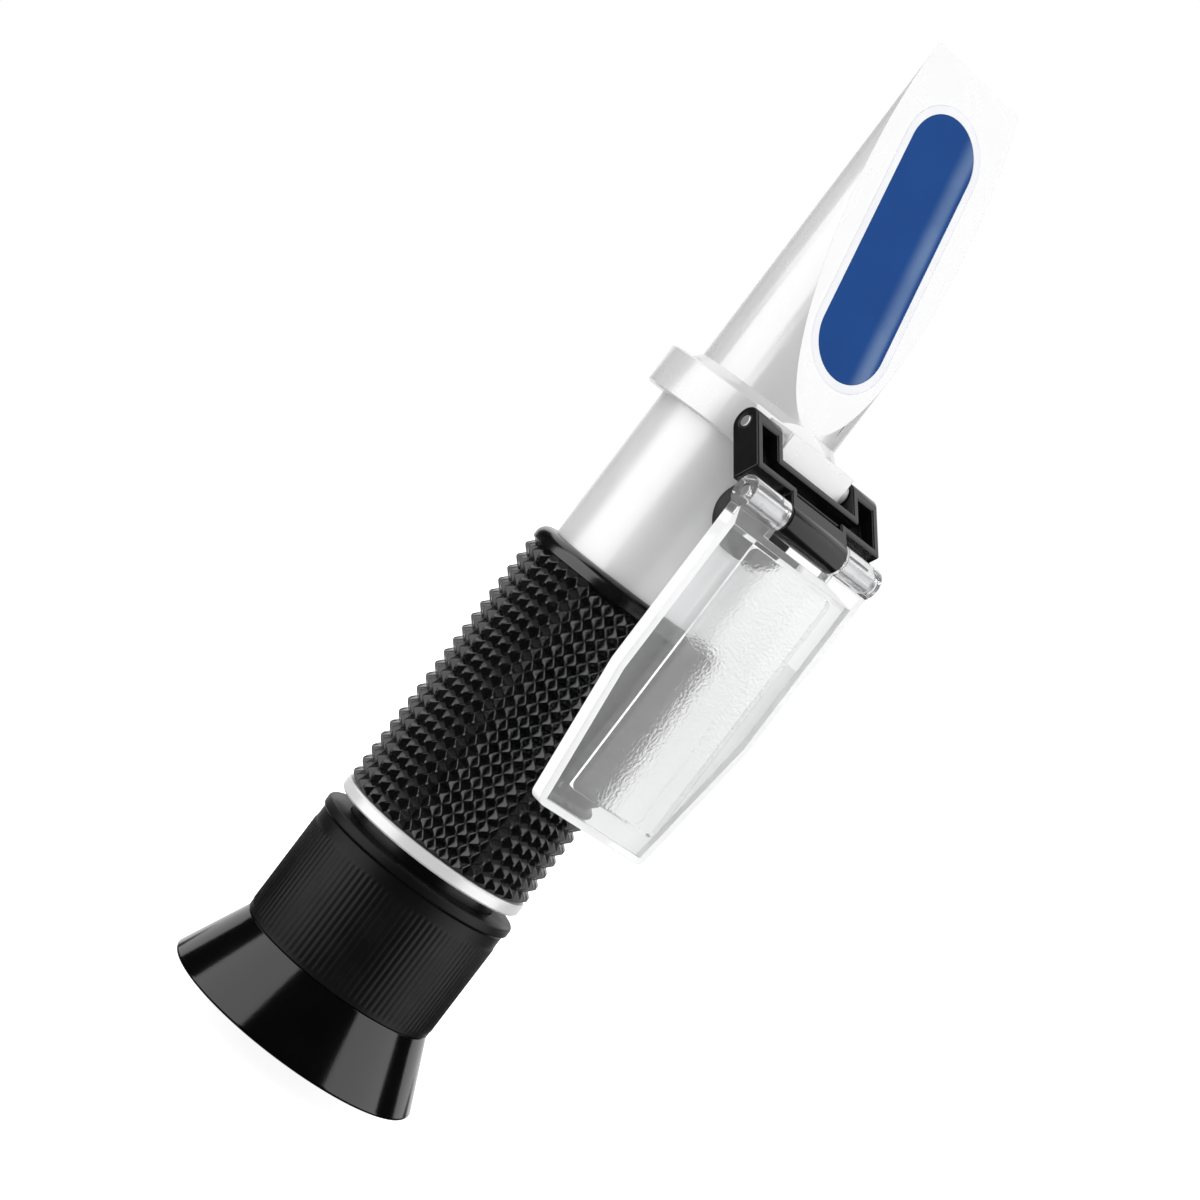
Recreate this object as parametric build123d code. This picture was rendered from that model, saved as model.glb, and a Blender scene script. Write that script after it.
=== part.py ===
"""Handheld antifreeze refractometer with a double-hinged daylight plate.

The origin is the centre of the eyecup's rim, on the optical axis. +Z runs along that axis towards the
prism's tip, and +X is the side of the prism face, the hinge and the calibration screw.
The part is drawn with the daylight plate swung open. All lengths are millimetres, all angles degrees.
"""

import os
from math import asin, cos, degrees, radians, sin, sqrt

from build123d import *

# Fits, as radial or face clearances
SEAT = 0.02
RUNNING = 0.05
FACE_GAP = 0.1
LOOSE = 0.2

# Stations along the optical axis
OVERALL_LENGTH = 160.0
EYECUP_LENGTH = 10.5
FOCUS_RING_LENGTH = 18.9
FOCUS_GAP = 1.8
FLANGE_LENGTH = 1.8
GRIP_LENGTH = 43.4
BARE_TUBE_LENGTH = 23.85
COLLAR_LENGTH = 5.85
SHOULDER_LENGTH = 1.3

FOCUS_RING_END = EYECUP_LENGTH + FOCUS_RING_LENGTH
FLANGE_Z = FOCUS_RING_END + FOCUS_GAP
GRIP_Z = FLANGE_Z + FLANGE_LENGTH
GRIP_END = GRIP_Z + GRIP_LENGTH
COLLAR_Z = GRIP_END + BARE_TUBE_LENGTH
COLLAR_END = COLLAR_Z + COLLAR_LENGTH
HEAD_Z = COLLAR_END + SHOULDER_LENGTH

# Main tube
TUBE_R = 12.4
TUBE_BORE_R = 10.6
FLANGE_R = 14.9
FLANGE_EDGE = 0.25
REAR_R = 11.85
REAR_BORE_R = 10.1
REAR_BORE_LENGTH = 32.6

# Grip sleeve
GRIP_BASE_R = 13.9
GRIP_STUD_R = 14.9
GRIP_ROWS = 20
GRIP_ROW_PITCH = 2.04
GRIP_ROW_START = 0.85
GRIP_ROW_TOP = 0.8
GRIP_ROW_FOOT = 1.5
GRIP_NOSE_LENGTH = 2.5
GRIP_NOSE_R = 14.7
GRIP_NOSE_FRONT_R = 12.9

# Eyecup and focus ring
EYECUP_RIM_R = 20.0
EYECUP_RIM_WIDTH = 1.3
EYECUP_RIM_EDGE = 0.4
EYECUP_NECK_R = 15.05
EYECUP_FLOOR_Z = 5.6
RING_R = 15.3
RING_BODY_R = 15.1
RING_LIP_R = 15.5
RING_LIP_LENGTH = 1.6
RING_LIP_EDGE = 0.3
RING_REAR_BAND = 0.8
RING_FRONT_BAND = 4.0
RING_NOSE_R = 13.0
RING_WINDOW_R = 9.0
RING_LIP_DEPTH = 2.3
FOCUS_TRAVEL = 4.5

# Eyepiece cell and its lenses
CELL_FLANGE_R = 11.4
CELL_FLANGE_LENGTH = 2.1
CELL_LENGTH = 31.0
CELL_BORE_R = 8.3
CELL_WINDOW_R = 7.5
CELL_WALL = 1.2
CLIP_LENGTH = 0.95
CLIP_DEPTH = 0.85
CLIP_WIDTH = 2.0
CLIP_GAP = 3.0
EYE_LENS_EDGE = 1.8
EYE_LENS_CROWN = 2.0
FIELD_LENS_EDGE = 1.5
FIELD_LENS_CROWN = 1.6
LENS_SPACER_LENGTH = 21.0
LENS_LAND = 0.9
LENS_RING_LENGTH = 1.6
GUIDE_PIN_Z = 20.0
GUIDE_PIN_R = 1.0
GUIDE_PIN_TIP = 9.2

# Scale glass
RETICLE_HOLDER_LENGTH = 6.0
RETICLE_R = 8.55
RETICLE_LENGTH = 1.5
RETICLE_LEDGE = 2.0
RETICLE_WINDOW_R = 7.2
RETICLE_RING_LENGTH = 2.0
RETICLE_SCREWS = 3
GRUB_R = 1.0
GRUB_BITE = 0.5

# Light baffle, seals
BAFFLE_Z = 68.0
BAFFLE_LENGTH = 3.0
BAFFLE_WINDOW_R = 7.5
O_RING_WIRE_R = 0.5
O_RING_GROOVE = 1.3
FOCUS_O_RING_Z = 25.0
HEAD_O_RING_BACK = 5.2

# Prism head
HEAD_R = 11.1
SHOULDER_R = 12.4
SPIGOT_LENGTH = 8.8
HEAD_BORE_R = 6.6
FACE_ANGLE = 18.5
TIP_EDGE = 0.3
STOP_LENGTH = 1.5
STOP_WINDOW_R = 4.5
STOP_DEPTH = 0.8

# Prism, measured along and across the slanted face
PRISM_START = 8.2
PRISM_LENGTH = 40.6
PRISM_WIDTH = 12.3
PRISM_FLOOR_X = -7.2
PRISM_EXIT_Z = 116.5
PRISM_LIP_X = 6.9
SEAL_WIDTH = 1.2
SEAL_DEPTH = 1.2

# Hinge collar, link and pins
COLLAR_R = 15.05
COLLAR_EDGE = 0.25
LUG_WIDTH = 12.7
LUG_HEIGHT = 5.25
LUG_FRONT = 1.75
LUG_EDGE = 0.3
LUG_BOSS_R = 1.6
LUG_BOSS_WIDTH = 14.1
PIVOT_X = 15.63
PIN_R = 0.9
LINK_REACH = 11.84
LINK_WIDTH = 24.9
LINK_THICK = 4.3
LINK_REST_ANGLE = 127.5
LINK_NOTCH_WIDTH = 14.5
LINK_NOTCH_DEPTH = 4.4
LINK_BARREL_WIDTH = 11.2
LINK_BARREL_R = 2.3
LINK_SHOULDER_BACK = 3.2
LINK_POCKET_RIM = 1.1
LINK_POCKET_DEPTH = 2.2
LINK_BARREL_FLAT = 1.9
LUG_STOP_FLOOR = 0.9
COLLAR_GRUB_R = 1.5
COLLAR_GRUB_ANGLES = (150.0, 210.0)

# Daylight plate, measured from the second pivot
PLATE_REST_ANGLE = 180.0
PLATE_LENGTH = 47.5
PLATE_STRAIGHT = 27.0
PLATE_WIDTH = 25.3
PLATE_TIP_WIDTH = 19.8
PLATE_BACK = -1.0
PLATE_RIM = 1.4
PLATE_FLOOR = 0.3
PLATE_RIM_WIDTH = 1.0
PLATE_CORNER_R = 1.2
PAD_START = 4.8
PAD_LENGTH = 38.7
PAD_WIDTH = 16.0
PAD_TOP = 2.4
PAD_CORNER_R = 1.2
KNUCKLE_R = 2.3
KNUCKLE_NOTCH = 3.2
KNUCKLE_NOTCH_GAP = 0.25

# Calibration screw, its bush and cap
CALIBRATION_Z = 93.4
BUSH_R = 4.2
BUSH_PLUG_R = 3.4
BUSH_TOP_X = 15.2
SCREW_R = 1.5
SCREW_HEAD_R = 2.4
SCREW_HEAD_LENGTH = 1.2
SCREW_SLOT = 0.6
SCREW_PITCH = 0.5
SCREW_TURNS = 1.0
CAP_R = 5.2
CAP_TOP_X = 17.4
CAP_ROOF = 1.7
CAP_EDGE_R = 1.6

# Objective carriage
CARRIAGE_HEIGHT = 5.9
CARRIAGE_WIDTH = 14.9
CARRIAGE_BACK_X = -7.2
CARRIAGE_FRONT_X = 7.6
CARRIAGE_R = 10.0
GUIDE_LENGTH = 9.6
WINDOW_HALF = 5.6
WINDOW_STRIP_SIDE = 6.5
STRIP_THICK = 0.5
STRIP_LENGTH = 9.6
STRIP_PAD = 3.0
STRIP_EDGE = 0.5
OBJECTIVE_CELL_R = 5.0
OBJECTIVE_R = 4.3
OBJECTIVE_EDGE = 1.6
OBJECTIVE_CROWN = 0.9
OBJECTIVE_SEAT = 1.2
SPRING_R = 1.5
SPRING_WIRE_R = 0.22
SPRING_TURNS = 4.0

# Worked out from the values above
TIP_Z = OVERALL_LENGTH
FACE_Z = HEAD_Z - 0.1
PIVOT_Z = COLLAR_Z + COLLAR_LENGTH / 2
CARRIAGE_TRAVEL = SCREW_PITCH * SCREW_TURNS
CELL_Z = EYECUP_FLOOR_Z + RING_LIP_DEPTH + FACE_GAP
CLIP_Z = CELL_Z + CELL_FLANGE_LENGTH + FACE_GAP
TUBE_REAR_Z = CLIP_Z + CLIP_LENGTH + LOOSE
RETICLE_Z = TUBE_REAR_Z + REAR_BORE_LENGTH
HEAD_SPIGOT_R = TUBE_BORE_R - SEAT
SPIGOT_Z = COLLAR_END - SPIGOT_LENGTH
GUIDE_Z = SPIGOT_Z - FACE_GAP - GUIDE_LENGTH
CARRIAGE_Z = CALIBRATION_Z - CARRIAGE_HEIGHT / 2
LENS_Z = CELL_Z + CELL_WALL
SPACER_Z = LENS_Z + EYE_LENS_EDGE
FIELD_LENS_Z = SPACER_Z + LENS_SPACER_LENGTH
LENS_RING_Z = FIELD_LENS_Z + FIELD_LENS_EDGE


def turned(*profile):
    """A body turned about the optical axis from its (radius, height) corners."""
    outline = Polyline(*[(r, 0, z) for r, z in profile], close=True)
    return revolve(make_face(outline), Axis.Z)


def ring(inner, outer, low, high):
    """A plain ring, or a disc where the inner radius is 0."""
    return turned((inner, low), (outer, low), (outer, high), (inner, high))


def bar_x(radius, start, end, height, side=0.0):
    """A round bar along X at the given height."""
    bar = Cylinder(radius, end - start, align=(Align.CENTER, Align.CENTER, Align.MIN))
    return Pos(start, side, height) * Rot(0, 90, 0) * bar


def radial(radius, start, end, height, angle):
    """A round bar that points out from the optical axis."""
    return Rot(0, 0, angle) * bar_x(radius, start, end, height)


def bar_y(radius, length):
    """A round bar centred on the origin, along Y."""
    return Rot(90, 0, 0) * Cylinder(radius, length)


def swing(pivot_x, pivot_z, angle):
    """The place of a hinged piece: its X runs from the pivot at that angle from +Z towards +X."""
    turn = radians(angle)
    x_dir = (sin(turn), 0, cos(turn))
    z_dir = (-cos(turn), 0, sin(turn))
    return Plane(origin=(pivot_x, 0, pivot_z), x_dir=x_dir, z_dir=z_dir).location


def face_place():
    """The place of the slanted face: X runs along it to the tip, and Z stands out of it."""
    turn = radians(FACE_ANGLE)
    x_dir = (-sin(turn), 0, cos(turn))
    z_dir = (cos(turn), 0, sin(turn))
    return Plane(origin=(HEAD_R, 0, FACE_Z), x_dir=x_dir, z_dir=z_dir).location


def above_face():
    """All that the slanted plane cuts away, from the tip back through the collar."""
    reach = 2 * OVERALL_LENGTH
    block = Box(reach, reach, reach, align=(Align.CENTER, Align.CENTER, Align.MIN))
    return face_place() * block


def second_pivot():
    """The (x, z) of the pivot that joins the link and the plate, with the hinge open."""
    turn = radians(LINK_REST_ANGLE)
    return PIVOT_X + LINK_REACH * sin(turn), PIVOT_Z + LINK_REACH * cos(turn)


def hinge_ranges():
    """How far the link and then the plate turn to lay the pad on the prism."""
    turn = radians(FACE_ANGLE)
    first = (PIVOT_X - HEAD_R) * cos(turn) + (PIVOT_Z - FACE_Z) * sin(turn)
    second = PAD_TOP + FACE_GAP
    link_closed = degrees(asin((second - first) / LINK_REACH)) - FACE_ANGLE
    link_range = LINK_REST_ANGLE - link_closed
    plate_range = PLATE_REST_ANGLE + FACE_ANGLE - link_range
    return link_range, plate_range


def o_ring(centre_r, height):
    """An O-ring of the standard wire."""
    wire = Pos(centre_r, 0, height) * Rot(90, 0, 0) * Circle(O_RING_WIRE_R)
    return revolve(wire, Axis.Z)


def o_ring_groove(wall_r, height):
    """The groove in a round wall that an O-ring sits in."""
    half = O_RING_GROOVE / 2
    floor_r = wall_r - 2 * O_RING_WIRE_R - SEAT
    return ring(floor_r, wall_r + O_RING_WIRE_R, height - half, height + half)


def lens(radius, edge, crown, low, upwards=True):
    """A plano-convex lens: a flat side, a straight edge and a crowned side."""
    base, rim, top = (low, low + edge, low + edge + crown)
    if not upwards:
        base, rim, top = (low + edge, low, low - crown)
    bulge = radius - LENS_LAND
    curve_r = (bulge**2 + crown**2) / (2 * crown)
    mid = bulge / 2
    drop = curve_r - sqrt(curve_r**2 - mid**2)
    mid_z = top - drop if upwards else top + drop
    lines = Polyline((0, 0, top), (0, 0, base), (radius, 0, base), (radius, 0, rim), (bulge, 0, rim))
    crown_arc = ThreePointArc((bulge, 0, rim), (mid, 0, mid_z), (0, 0, top))
    return revolve(make_face(lines + crown_arc), Axis.Z)


def stadium(grow, depth):
    """The prism's rounded outline on the slanted face, grown all round and sunk to a depth."""
    outline = SlotOverall(PRISM_LENGTH + 2 * grow, PRISM_WIDTH + 2 * grow)
    middle = PRISM_START + PRISM_LENGTH / 2
    block = extrude(Pos(middle, 0, 0) * outline, amount=-depth)
    return face_place() * block


def prism_block(grow):
    """The prism, or the pocket for it: a wedge under the face with an exit face square to the axis."""
    column = stadium(grow, 4 * HEAD_R)
    floor = Box(8 * HEAD_R, 4 * HEAD_R, 2 * OVERALL_LENGTH, align=(Align.MAX, Align.CENTER, Align.CENTER))
    column -= Pos(PRISM_FLOOR_X - grow, 0, 0) * floor
    exit_side = Box(8 * HEAD_R, 4 * HEAD_R, OVERALL_LENGTH, align=(Align.MAX, Align.CENTER, Align.MAX))
    return column - Pos(PRISM_LIP_X - grow, 0, PRISM_EXIT_Z - grow) * exit_side


# Pieces of the main body


def body_tube():
    """The main tube, with its rear barrel, end flange, bores and screw holes."""
    tube = turned(
        (REAR_BORE_R, TUBE_REAR_Z),
        (REAR_R, TUBE_REAR_Z),
        (REAR_R, FLANGE_Z),
        (FLANGE_R - FLANGE_EDGE, FLANGE_Z),
        (FLANGE_R, FLANGE_Z + FLANGE_EDGE),
        (FLANGE_R, GRIP_Z - FLANGE_EDGE),
        (FLANGE_R - FLANGE_EDGE, GRIP_Z),
        (TUBE_R, GRIP_Z),
        (TUBE_R, COLLAR_Z),
        (TUBE_BORE_R, COLLAR_Z),
        (TUBE_BORE_R, RETICLE_Z),
        (REAR_BORE_R, RETICLE_Z),
    )
    tube -= o_ring_groove(REAR_R, FOCUS_O_RING_Z)
    tube -= bar_x(BUSH_PLUG_R + SEAT, 0, 2 * TUBE_R, CALIBRATION_Z)
    tube -= radial(GUIDE_PIN_R + SEAT, 0, 2 * TUBE_R, GUIDE_PIN_Z, 180)
    for angle in reticle_screw_angles():
        tube -= radial(GRUB_R + SEAT, 0, 2 * TUBE_R, reticle_screw_z(), angle)
    return tube


def grip_sleeve():
    """The rubber sleeve: rows of studs, drawn as turned ridges, and a smooth rounded front band."""
    corners = [(TUBE_R + SEAT, GRIP_Z + SEAT), (GRIP_BASE_R, GRIP_Z + SEAT)]
    for row in range(GRIP_ROWS):
        middle = GRIP_Z + GRIP_ROW_START + row * GRIP_ROW_PITCH
        corners.append((GRIP_BASE_R, middle - GRIP_ROW_FOOT / 2))
        corners.append((GRIP_STUD_R, middle - GRIP_ROW_TOP / 2))
        corners.append((GRIP_STUD_R, middle + GRIP_ROW_TOP / 2))
        corners.append((GRIP_BASE_R, middle + GRIP_ROW_FOOT / 2))
    nose = GRIP_END - GRIP_NOSE_LENGTH
    corners += [(GRIP_BASE_R, nose), (GRIP_NOSE_R, nose + (GRIP_NOSE_R - GRIP_BASE_R))]
    front = Polyline(*[(r, 0, z) for r, z in corners])
    shoulder = GRIP_END - (GRIP_NOSE_R - GRIP_NOSE_FRONT_R)
    rise = Line((*front @ 1,), (GRIP_NOSE_R, 0, shoulder))
    turn_r = GRIP_NOSE_R - GRIP_NOSE_FRONT_R
    middle_45 = turn_r * sin(radians(45))
    bend = ThreePointArc(
        (GRIP_NOSE_R, 0, shoulder),
        (GRIP_NOSE_FRONT_R + middle_45, 0, shoulder + middle_45),
        (GRIP_NOSE_FRONT_R, 0, GRIP_END),
    )
    back = Polyline((GRIP_NOSE_FRONT_R, 0, GRIP_END), (TUBE_R + SEAT, 0, GRIP_END), (*front @ 0,))
    return revolve(make_face(front + rise + bend + back), Axis.Z)


def hinge_collar():
    """The collar round the joint of tube and head: a relief flat, a lug and the lug's stop lip."""
    collar = turned(
        (HEAD_SPIGOT_R + SEAT, COLLAR_Z),
        (COLLAR_R - COLLAR_EDGE, COLLAR_Z),
        (COLLAR_R, COLLAR_Z + COLLAR_EDGE),
        (COLLAR_R, COLLAR_END - COLLAR_EDGE),
        (COLLAR_R - COLLAR_EDGE, COLLAR_END),
        (HEAD_SPIGOT_R + SEAT, COLLAR_END),
    )
    collar -= above_face()
    block = Pos(LUG_FRONT, 0, 0) * Box(
        PIVOT_X + LUG_FRONT - HEAD_R,
        LUG_WIDTH,
        LUG_HEIGHT,
        align=(Align.MAX, Align.CENTER, Align.CENTER),
    )
    block = fillet(block.faces().sort_by(Axis.X)[-1].edges(), LUG_EDGE)
    lug = Pos(PIVOT_X, 0, PIVOT_Z) * (block + bar_y(LUG_BOSS_R, LUG_BOSS_WIDTH))
    stop_end = LINK_NOTCH_DEPTH - RUNNING
    stop = Box(
        stop_end,
        LUG_WIDTH,
        LINK_THICK / 2 - LUG_STOP_FLOOR,
        align=(Align.MIN, Align.CENTER, Align.MAX),
    )
    stop = swing(PIVOT_X, PIVOT_Z, LINK_REST_ANGLE) * Pos(0, 0, -LUG_STOP_FLOOR) * stop
    collar += lug + stop
    collar -= Pos(PIVOT_X, 0, PIVOT_Z) * bar_y(PIN_R + SEAT, 2 * LUG_WIDTH)
    for angle in COLLAR_GRUB_ANGLES:
        collar -= radial(COLLAR_GRUB_R + SEAT, 0, 2 * COLLAR_R, PIVOT_Z, angle)
    return collar


def prism_head():
    """The head: a slanted face, a pocket for the prism, a light bore and a spigot into the tube."""
    head = turned(
        (HEAD_BORE_R, SPIGOT_Z),
        (HEAD_SPIGOT_R, SPIGOT_Z),
        (HEAD_SPIGOT_R, COLLAR_END),
        (SHOULDER_R, COLLAR_END),
        (HEAD_R, HEAD_Z),
        (HEAD_R, TIP_Z - TIP_EDGE),
        (HEAD_R - TIP_EDGE, TIP_Z),
        (0, TIP_Z),
        (0, PRISM_EXIT_Z),
        (HEAD_BORE_R, PRISM_EXIT_Z),
    )
    head -= above_face()
    head -= prism_block(SEAT)
    head -= stadium(SEAL_WIDTH + SEAT, SEAL_DEPTH)
    head -= o_ring_groove(HEAD_SPIGOT_R, head_o_ring_z())
    head -= ring(0, HEAD_BORE_R + STOP_DEPTH + SEAT, SPIGOT_Z, SPIGOT_Z + STOP_LENGTH)
    for angle in COLLAR_GRUB_ANGLES:
        tip = HEAD_SPIGOT_R - GRUB_BITE - SEAT
        head -= radial(COLLAR_GRUB_R + SEAT, tip, 2 * COLLAR_R, PIVOT_Z, angle)
    return head


def measuring_prism():
    """The blue glass prism, flush with the slanted face."""
    return prism_block(0)


def prism_seal():
    """The pale cement bead round the prism's face."""
    return stadium(SEAL_WIDTH, SEAL_DEPTH) - stadium(SEAT, 2 * SEAL_DEPTH)


def aperture_stop():
    """The stop in the spigot's mouth that trims the light cone."""
    return ring(STOP_WINDOW_R, HEAD_BORE_R + STOP_DEPTH, SPIGOT_Z, SPIGOT_Z + STOP_LENGTH)


def head_o_ring():
    """The seal between the head's spigot and the tube."""
    return o_ring(HEAD_SPIGOT_R - O_RING_WIRE_R, head_o_ring_z())


def focus_o_ring():
    """The greased seal between the rear barrel and the focus ring."""
    return o_ring(REAR_R - O_RING_WIRE_R, FOCUS_O_RING_Z)


def light_baffle():
    """A ring with a sharp-edged window that keeps stray light off the scale."""
    outer = TUBE_BORE_R - SEAT
    return turned(
        (BAFFLE_WINDOW_R, BAFFLE_Z),
        (outer, BAFFLE_Z),
        (outer, BAFFLE_Z + BAFFLE_LENGTH),
        (outer - 1, BAFFLE_Z + BAFFLE_LENGTH),
    )


def reticle_holder():
    """The ring that carries the scale glass, against the step in the tube's bore."""
    top = RETICLE_Z + RETICLE_HOLDER_LENGTH
    holder = turned(
        (RETICLE_WINDOW_R, RETICLE_Z),
        (TUBE_BORE_R - SEAT, RETICLE_Z),
        (TUBE_BORE_R - SEAT, top),
        (RETICLE_R + SEAT, top),
        (RETICLE_R + SEAT, RETICLE_Z + RETICLE_LEDGE),
        (RETICLE_WINDOW_R, RETICLE_Z + RETICLE_LEDGE),
    )
    for angle in reticle_screw_angles():
        tip = TUBE_BORE_R - GRUB_BITE - SEAT
        holder -= radial(GRUB_R + SEAT, tip, TUBE_R, reticle_screw_z(), angle)
    return holder


def reticle():
    """The glass disc that bears the scale."""
    low = RETICLE_Z + RETICLE_LEDGE
    return ring(0, RETICLE_R, low, low + RETICLE_LENGTH)


def reticle_retaining_ring():
    """The ring that holds the scale glass down."""
    low = RETICLE_Z + RETICLE_LEDGE + RETICLE_LENGTH
    return ring(RETICLE_WINDOW_R, RETICLE_R, low, low + RETICLE_RING_LENGTH)


def reticle_set_screws():
    """The grub screws under the grip that lock the scale's holder."""
    start = TUBE_BORE_R - GRUB_BITE
    angles = reticle_screw_angles()
    return Part() + [radial(GRUB_R, start, TUBE_R - SEAT, reticle_screw_z(), a) for a in angles]


def collar_set_screws():
    """The grub screws behind the collar that bite on the head's spigot."""
    start = HEAD_SPIGOT_R - GRUB_BITE
    end = COLLAR_R - FACE_GAP
    return Part() + [radial(COLLAR_GRUB_R, start, end, PIVOT_Z, a) for a in COLLAR_GRUB_ANGLES]


def guide_pin():
    """The headless screw in the rear barrel that keeps the eyepiece cell from turning."""
    return radial(GUIDE_PIN_R, GUIDE_PIN_TIP, REAR_R - FACE_GAP, GUIDE_PIN_Z, 180)


def lug_pin():
    """The steel pin through the lug, on which the link's arms turn."""
    return Pos(PIVOT_X, 0, PIVOT_Z) * bar_y(PIN_R, LINK_WIDTH)


def carriage_guide():
    """The ring across the tube with a cross channel for the objective carriage."""
    guide = ring(HEAD_BORE_R, TUBE_BORE_R - SEAT, GUIDE_Z, GUIDE_Z + GUIDE_LENGTH)
    width = CARRIAGE_WIDTH + 2 * RUNNING
    height = CARRIAGE_HEIGHT + 2 * RUNNING
    return guide - Pos(0, 0, CALIBRATION_Z) * Box(4 * TUBE_R, width, height)


def carriage_spring():
    """The small coil spring that pushes the carriage against the calibration screw."""
    reach = sqrt((TUBE_BORE_R - SEAT) ** 2 - (SPRING_R + SPRING_WIRE_R) ** 2)
    length = reach + CARRIAGE_BACK_X - 2 * SPRING_WIRE_R - SEAT
    coil = Helix(length / SPRING_TURNS, length, SPRING_R)
    wire = Plane(origin=coil @ 0, z_dir=coil % 0) * Circle(SPRING_WIRE_R)
    spring = sweep(wire, path=coil)
    start = CARRIAGE_BACK_X - SPRING_WIRE_R - SEAT - length
    return Pos(start, 0, CALIBRATION_Z) * Rot(0, 90, 0) * spring


def calibration_bush():
    """The threaded bush in the tube's wall, with a boss that the rubber cap grips."""
    boss = bar_x(BUSH_R, TUBE_BORE_R, BUSH_TOP_X, CALIBRATION_Z)
    boss -= Cylinder(TUBE_R + SEAT, 2 * OVERALL_LENGTH)
    plug = bar_x(BUSH_PLUG_R, TUBE_BORE_R, TUBE_R + SEAT, CALIBRATION_Z)
    plug -= Cylinder(TUBE_BORE_R + SEAT, 2 * OVERALL_LENGTH)
    bush = boss + plug
    bush -= bar_x(SCREW_R + RUNNING, 0, BUSH_TOP_X, CALIBRATION_Z)
    counterbore = screw_head_x() - CARRIAGE_TRAVEL - FACE_GAP
    return bush - bar_x(SCREW_HEAD_R + LOOSE, counterbore, 2 * BUSH_TOP_X, CALIBRATION_Z)


# Pieces of the objective carriage


def carriage_frame():
    """The frame that slides across the tube and carries the objective on a bimetal strip."""
    length = CARRIAGE_FRONT_X - CARRIAGE_BACK_X
    frame = Box(length, CARRIAGE_WIDTH, CARRIAGE_HEIGHT, align=(Align.MIN, Align.CENTER, Align.CENTER))
    frame = Pos(CARRIAGE_BACK_X, 0, 0) * frame
    frame &= Cylinder(CARRIAGE_R, CARRIAGE_HEIGHT)
    window = Box(
        2 * WINDOW_HALF,
        WINDOW_HALF + WINDOW_STRIP_SIDE,
        2 * CARRIAGE_HEIGHT,
        align=(Align.CENTER, Align.MIN, Align.CENTER),
    )
    frame -= Pos(0, -WINDOW_STRIP_SIDE, 0) * window
    pad_width = WINDOW_STRIP_SIDE - OBJECTIVE_CELL_R - STRIP_THICK - FACE_GAP
    pad = Box(STRIP_PAD, pad_width, CARRIAGE_HEIGHT, align=(Align.MAX, Align.MIN, Align.CENTER))
    frame += Pos(WINDOW_HALF, -WINDOW_STRIP_SIDE, 0) * pad
    return Pos(0, 0, CALIBRATION_Z) * frame


def bimetal_strip():
    """The strip that shifts the objective with temperature, fixed to the frame at one end."""
    height = CARRIAGE_HEIGHT - 2 * STRIP_EDGE
    strip = Box(STRIP_LENGTH, STRIP_THICK, height, align=(Align.MAX, Align.MIN, Align.CENTER))
    side = -OBJECTIVE_CELL_R - STRIP_THICK - FACE_GAP
    return Pos(WINDOW_HALF - FACE_GAP, side, CALIBRATION_Z) * strip


def objective_cell():
    """The small cell of the objective, with a tab that is fixed to the strip's free end."""
    low = CALIBRATION_Z - CARRIAGE_HEIGHT / 2 + FACE_GAP
    high = CALIBRATION_Z + CARRIAGE_HEIGHT / 2 - FACE_GAP
    seat = low + OBJECTIVE_SEAT
    cell = turned(
        (OBJECTIVE_R - LENS_LAND, low),
        (OBJECTIVE_CELL_R, low),
        (OBJECTIVE_CELL_R, high),
        (OBJECTIVE_R + SEAT, high),
        (OBJECTIVE_R + SEAT, seat),
        (OBJECTIVE_R - LENS_LAND, seat),
    )
    tab_height = CARRIAGE_HEIGHT - 2 * STRIP_EDGE
    tab_width = OBJECTIVE_CELL_R + FACE_GAP
    tab = Box(STRIP_PAD, tab_width, tab_height, align=(Align.MIN, Align.MAX, Align.CENTER))
    tab = Pos(WINDOW_HALF - FACE_GAP - STRIP_LENGTH, 0, CALIBRATION_Z) * tab
    return cell + (tab - Cylinder(OBJECTIVE_CELL_R - SEAT, 4 * OVERALL_LENGTH))


def objective_lens():
    """The objective lens."""
    low = CALIBRATION_Z - CARRIAGE_HEIGHT / 2 + FACE_GAP + OBJECTIVE_SEAT
    return lens(OBJECTIVE_R, OBJECTIVE_EDGE, OBJECTIVE_CROWN, low)


def objective_retaining_ring():
    """The ring that holds the objective in its cell."""
    low = CALIBRATION_Z - CARRIAGE_HEIGHT / 2 + FACE_GAP + OBJECTIVE_SEAT + OBJECTIVE_EDGE
    high = CALIBRATION_Z + CARRIAGE_HEIGHT / 2 - FACE_GAP
    return ring(OBJECTIVE_R - LENS_LAND + SEAT, OBJECTIVE_R, low, high)


def calibration_screw():
    """The slotted screw that the user turns to set the zero."""
    head_x = screw_head_x()
    screw = bar_x(SCREW_R, CARRIAGE_FRONT_X + RUNNING, head_x, CALIBRATION_Z)
    screw += bar_x(SCREW_HEAD_R, head_x, head_x + SCREW_HEAD_LENGTH, CALIBRATION_Z)
    slot = Box(SCREW_SLOT, 4 * SCREW_HEAD_R, SCREW_SLOT, align=(Align.MAX, Align.CENTER, Align.CENTER))
    return screw - Pos(head_x + SCREW_HEAD_LENGTH, 0, CALIBRATION_Z) * slot


def calibration_cap():
    """The rubber cap over the calibration screw, saddled on the tube."""
    cap = bar_x(CAP_R, 0, CAP_TOP_X, CALIBRATION_Z)
    cap = fillet(cap.edges().sort_by(Axis.X)[-1], CAP_EDGE_R)
    cap -= Cylinder(TUBE_R + RUNNING, 2 * OVERALL_LENGTH)
    return cap - bar_x(BUSH_R + RUNNING, 0, CAP_TOP_X - CAP_ROOF, CALIBRATION_Z)


# Pieces of the hinge


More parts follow.
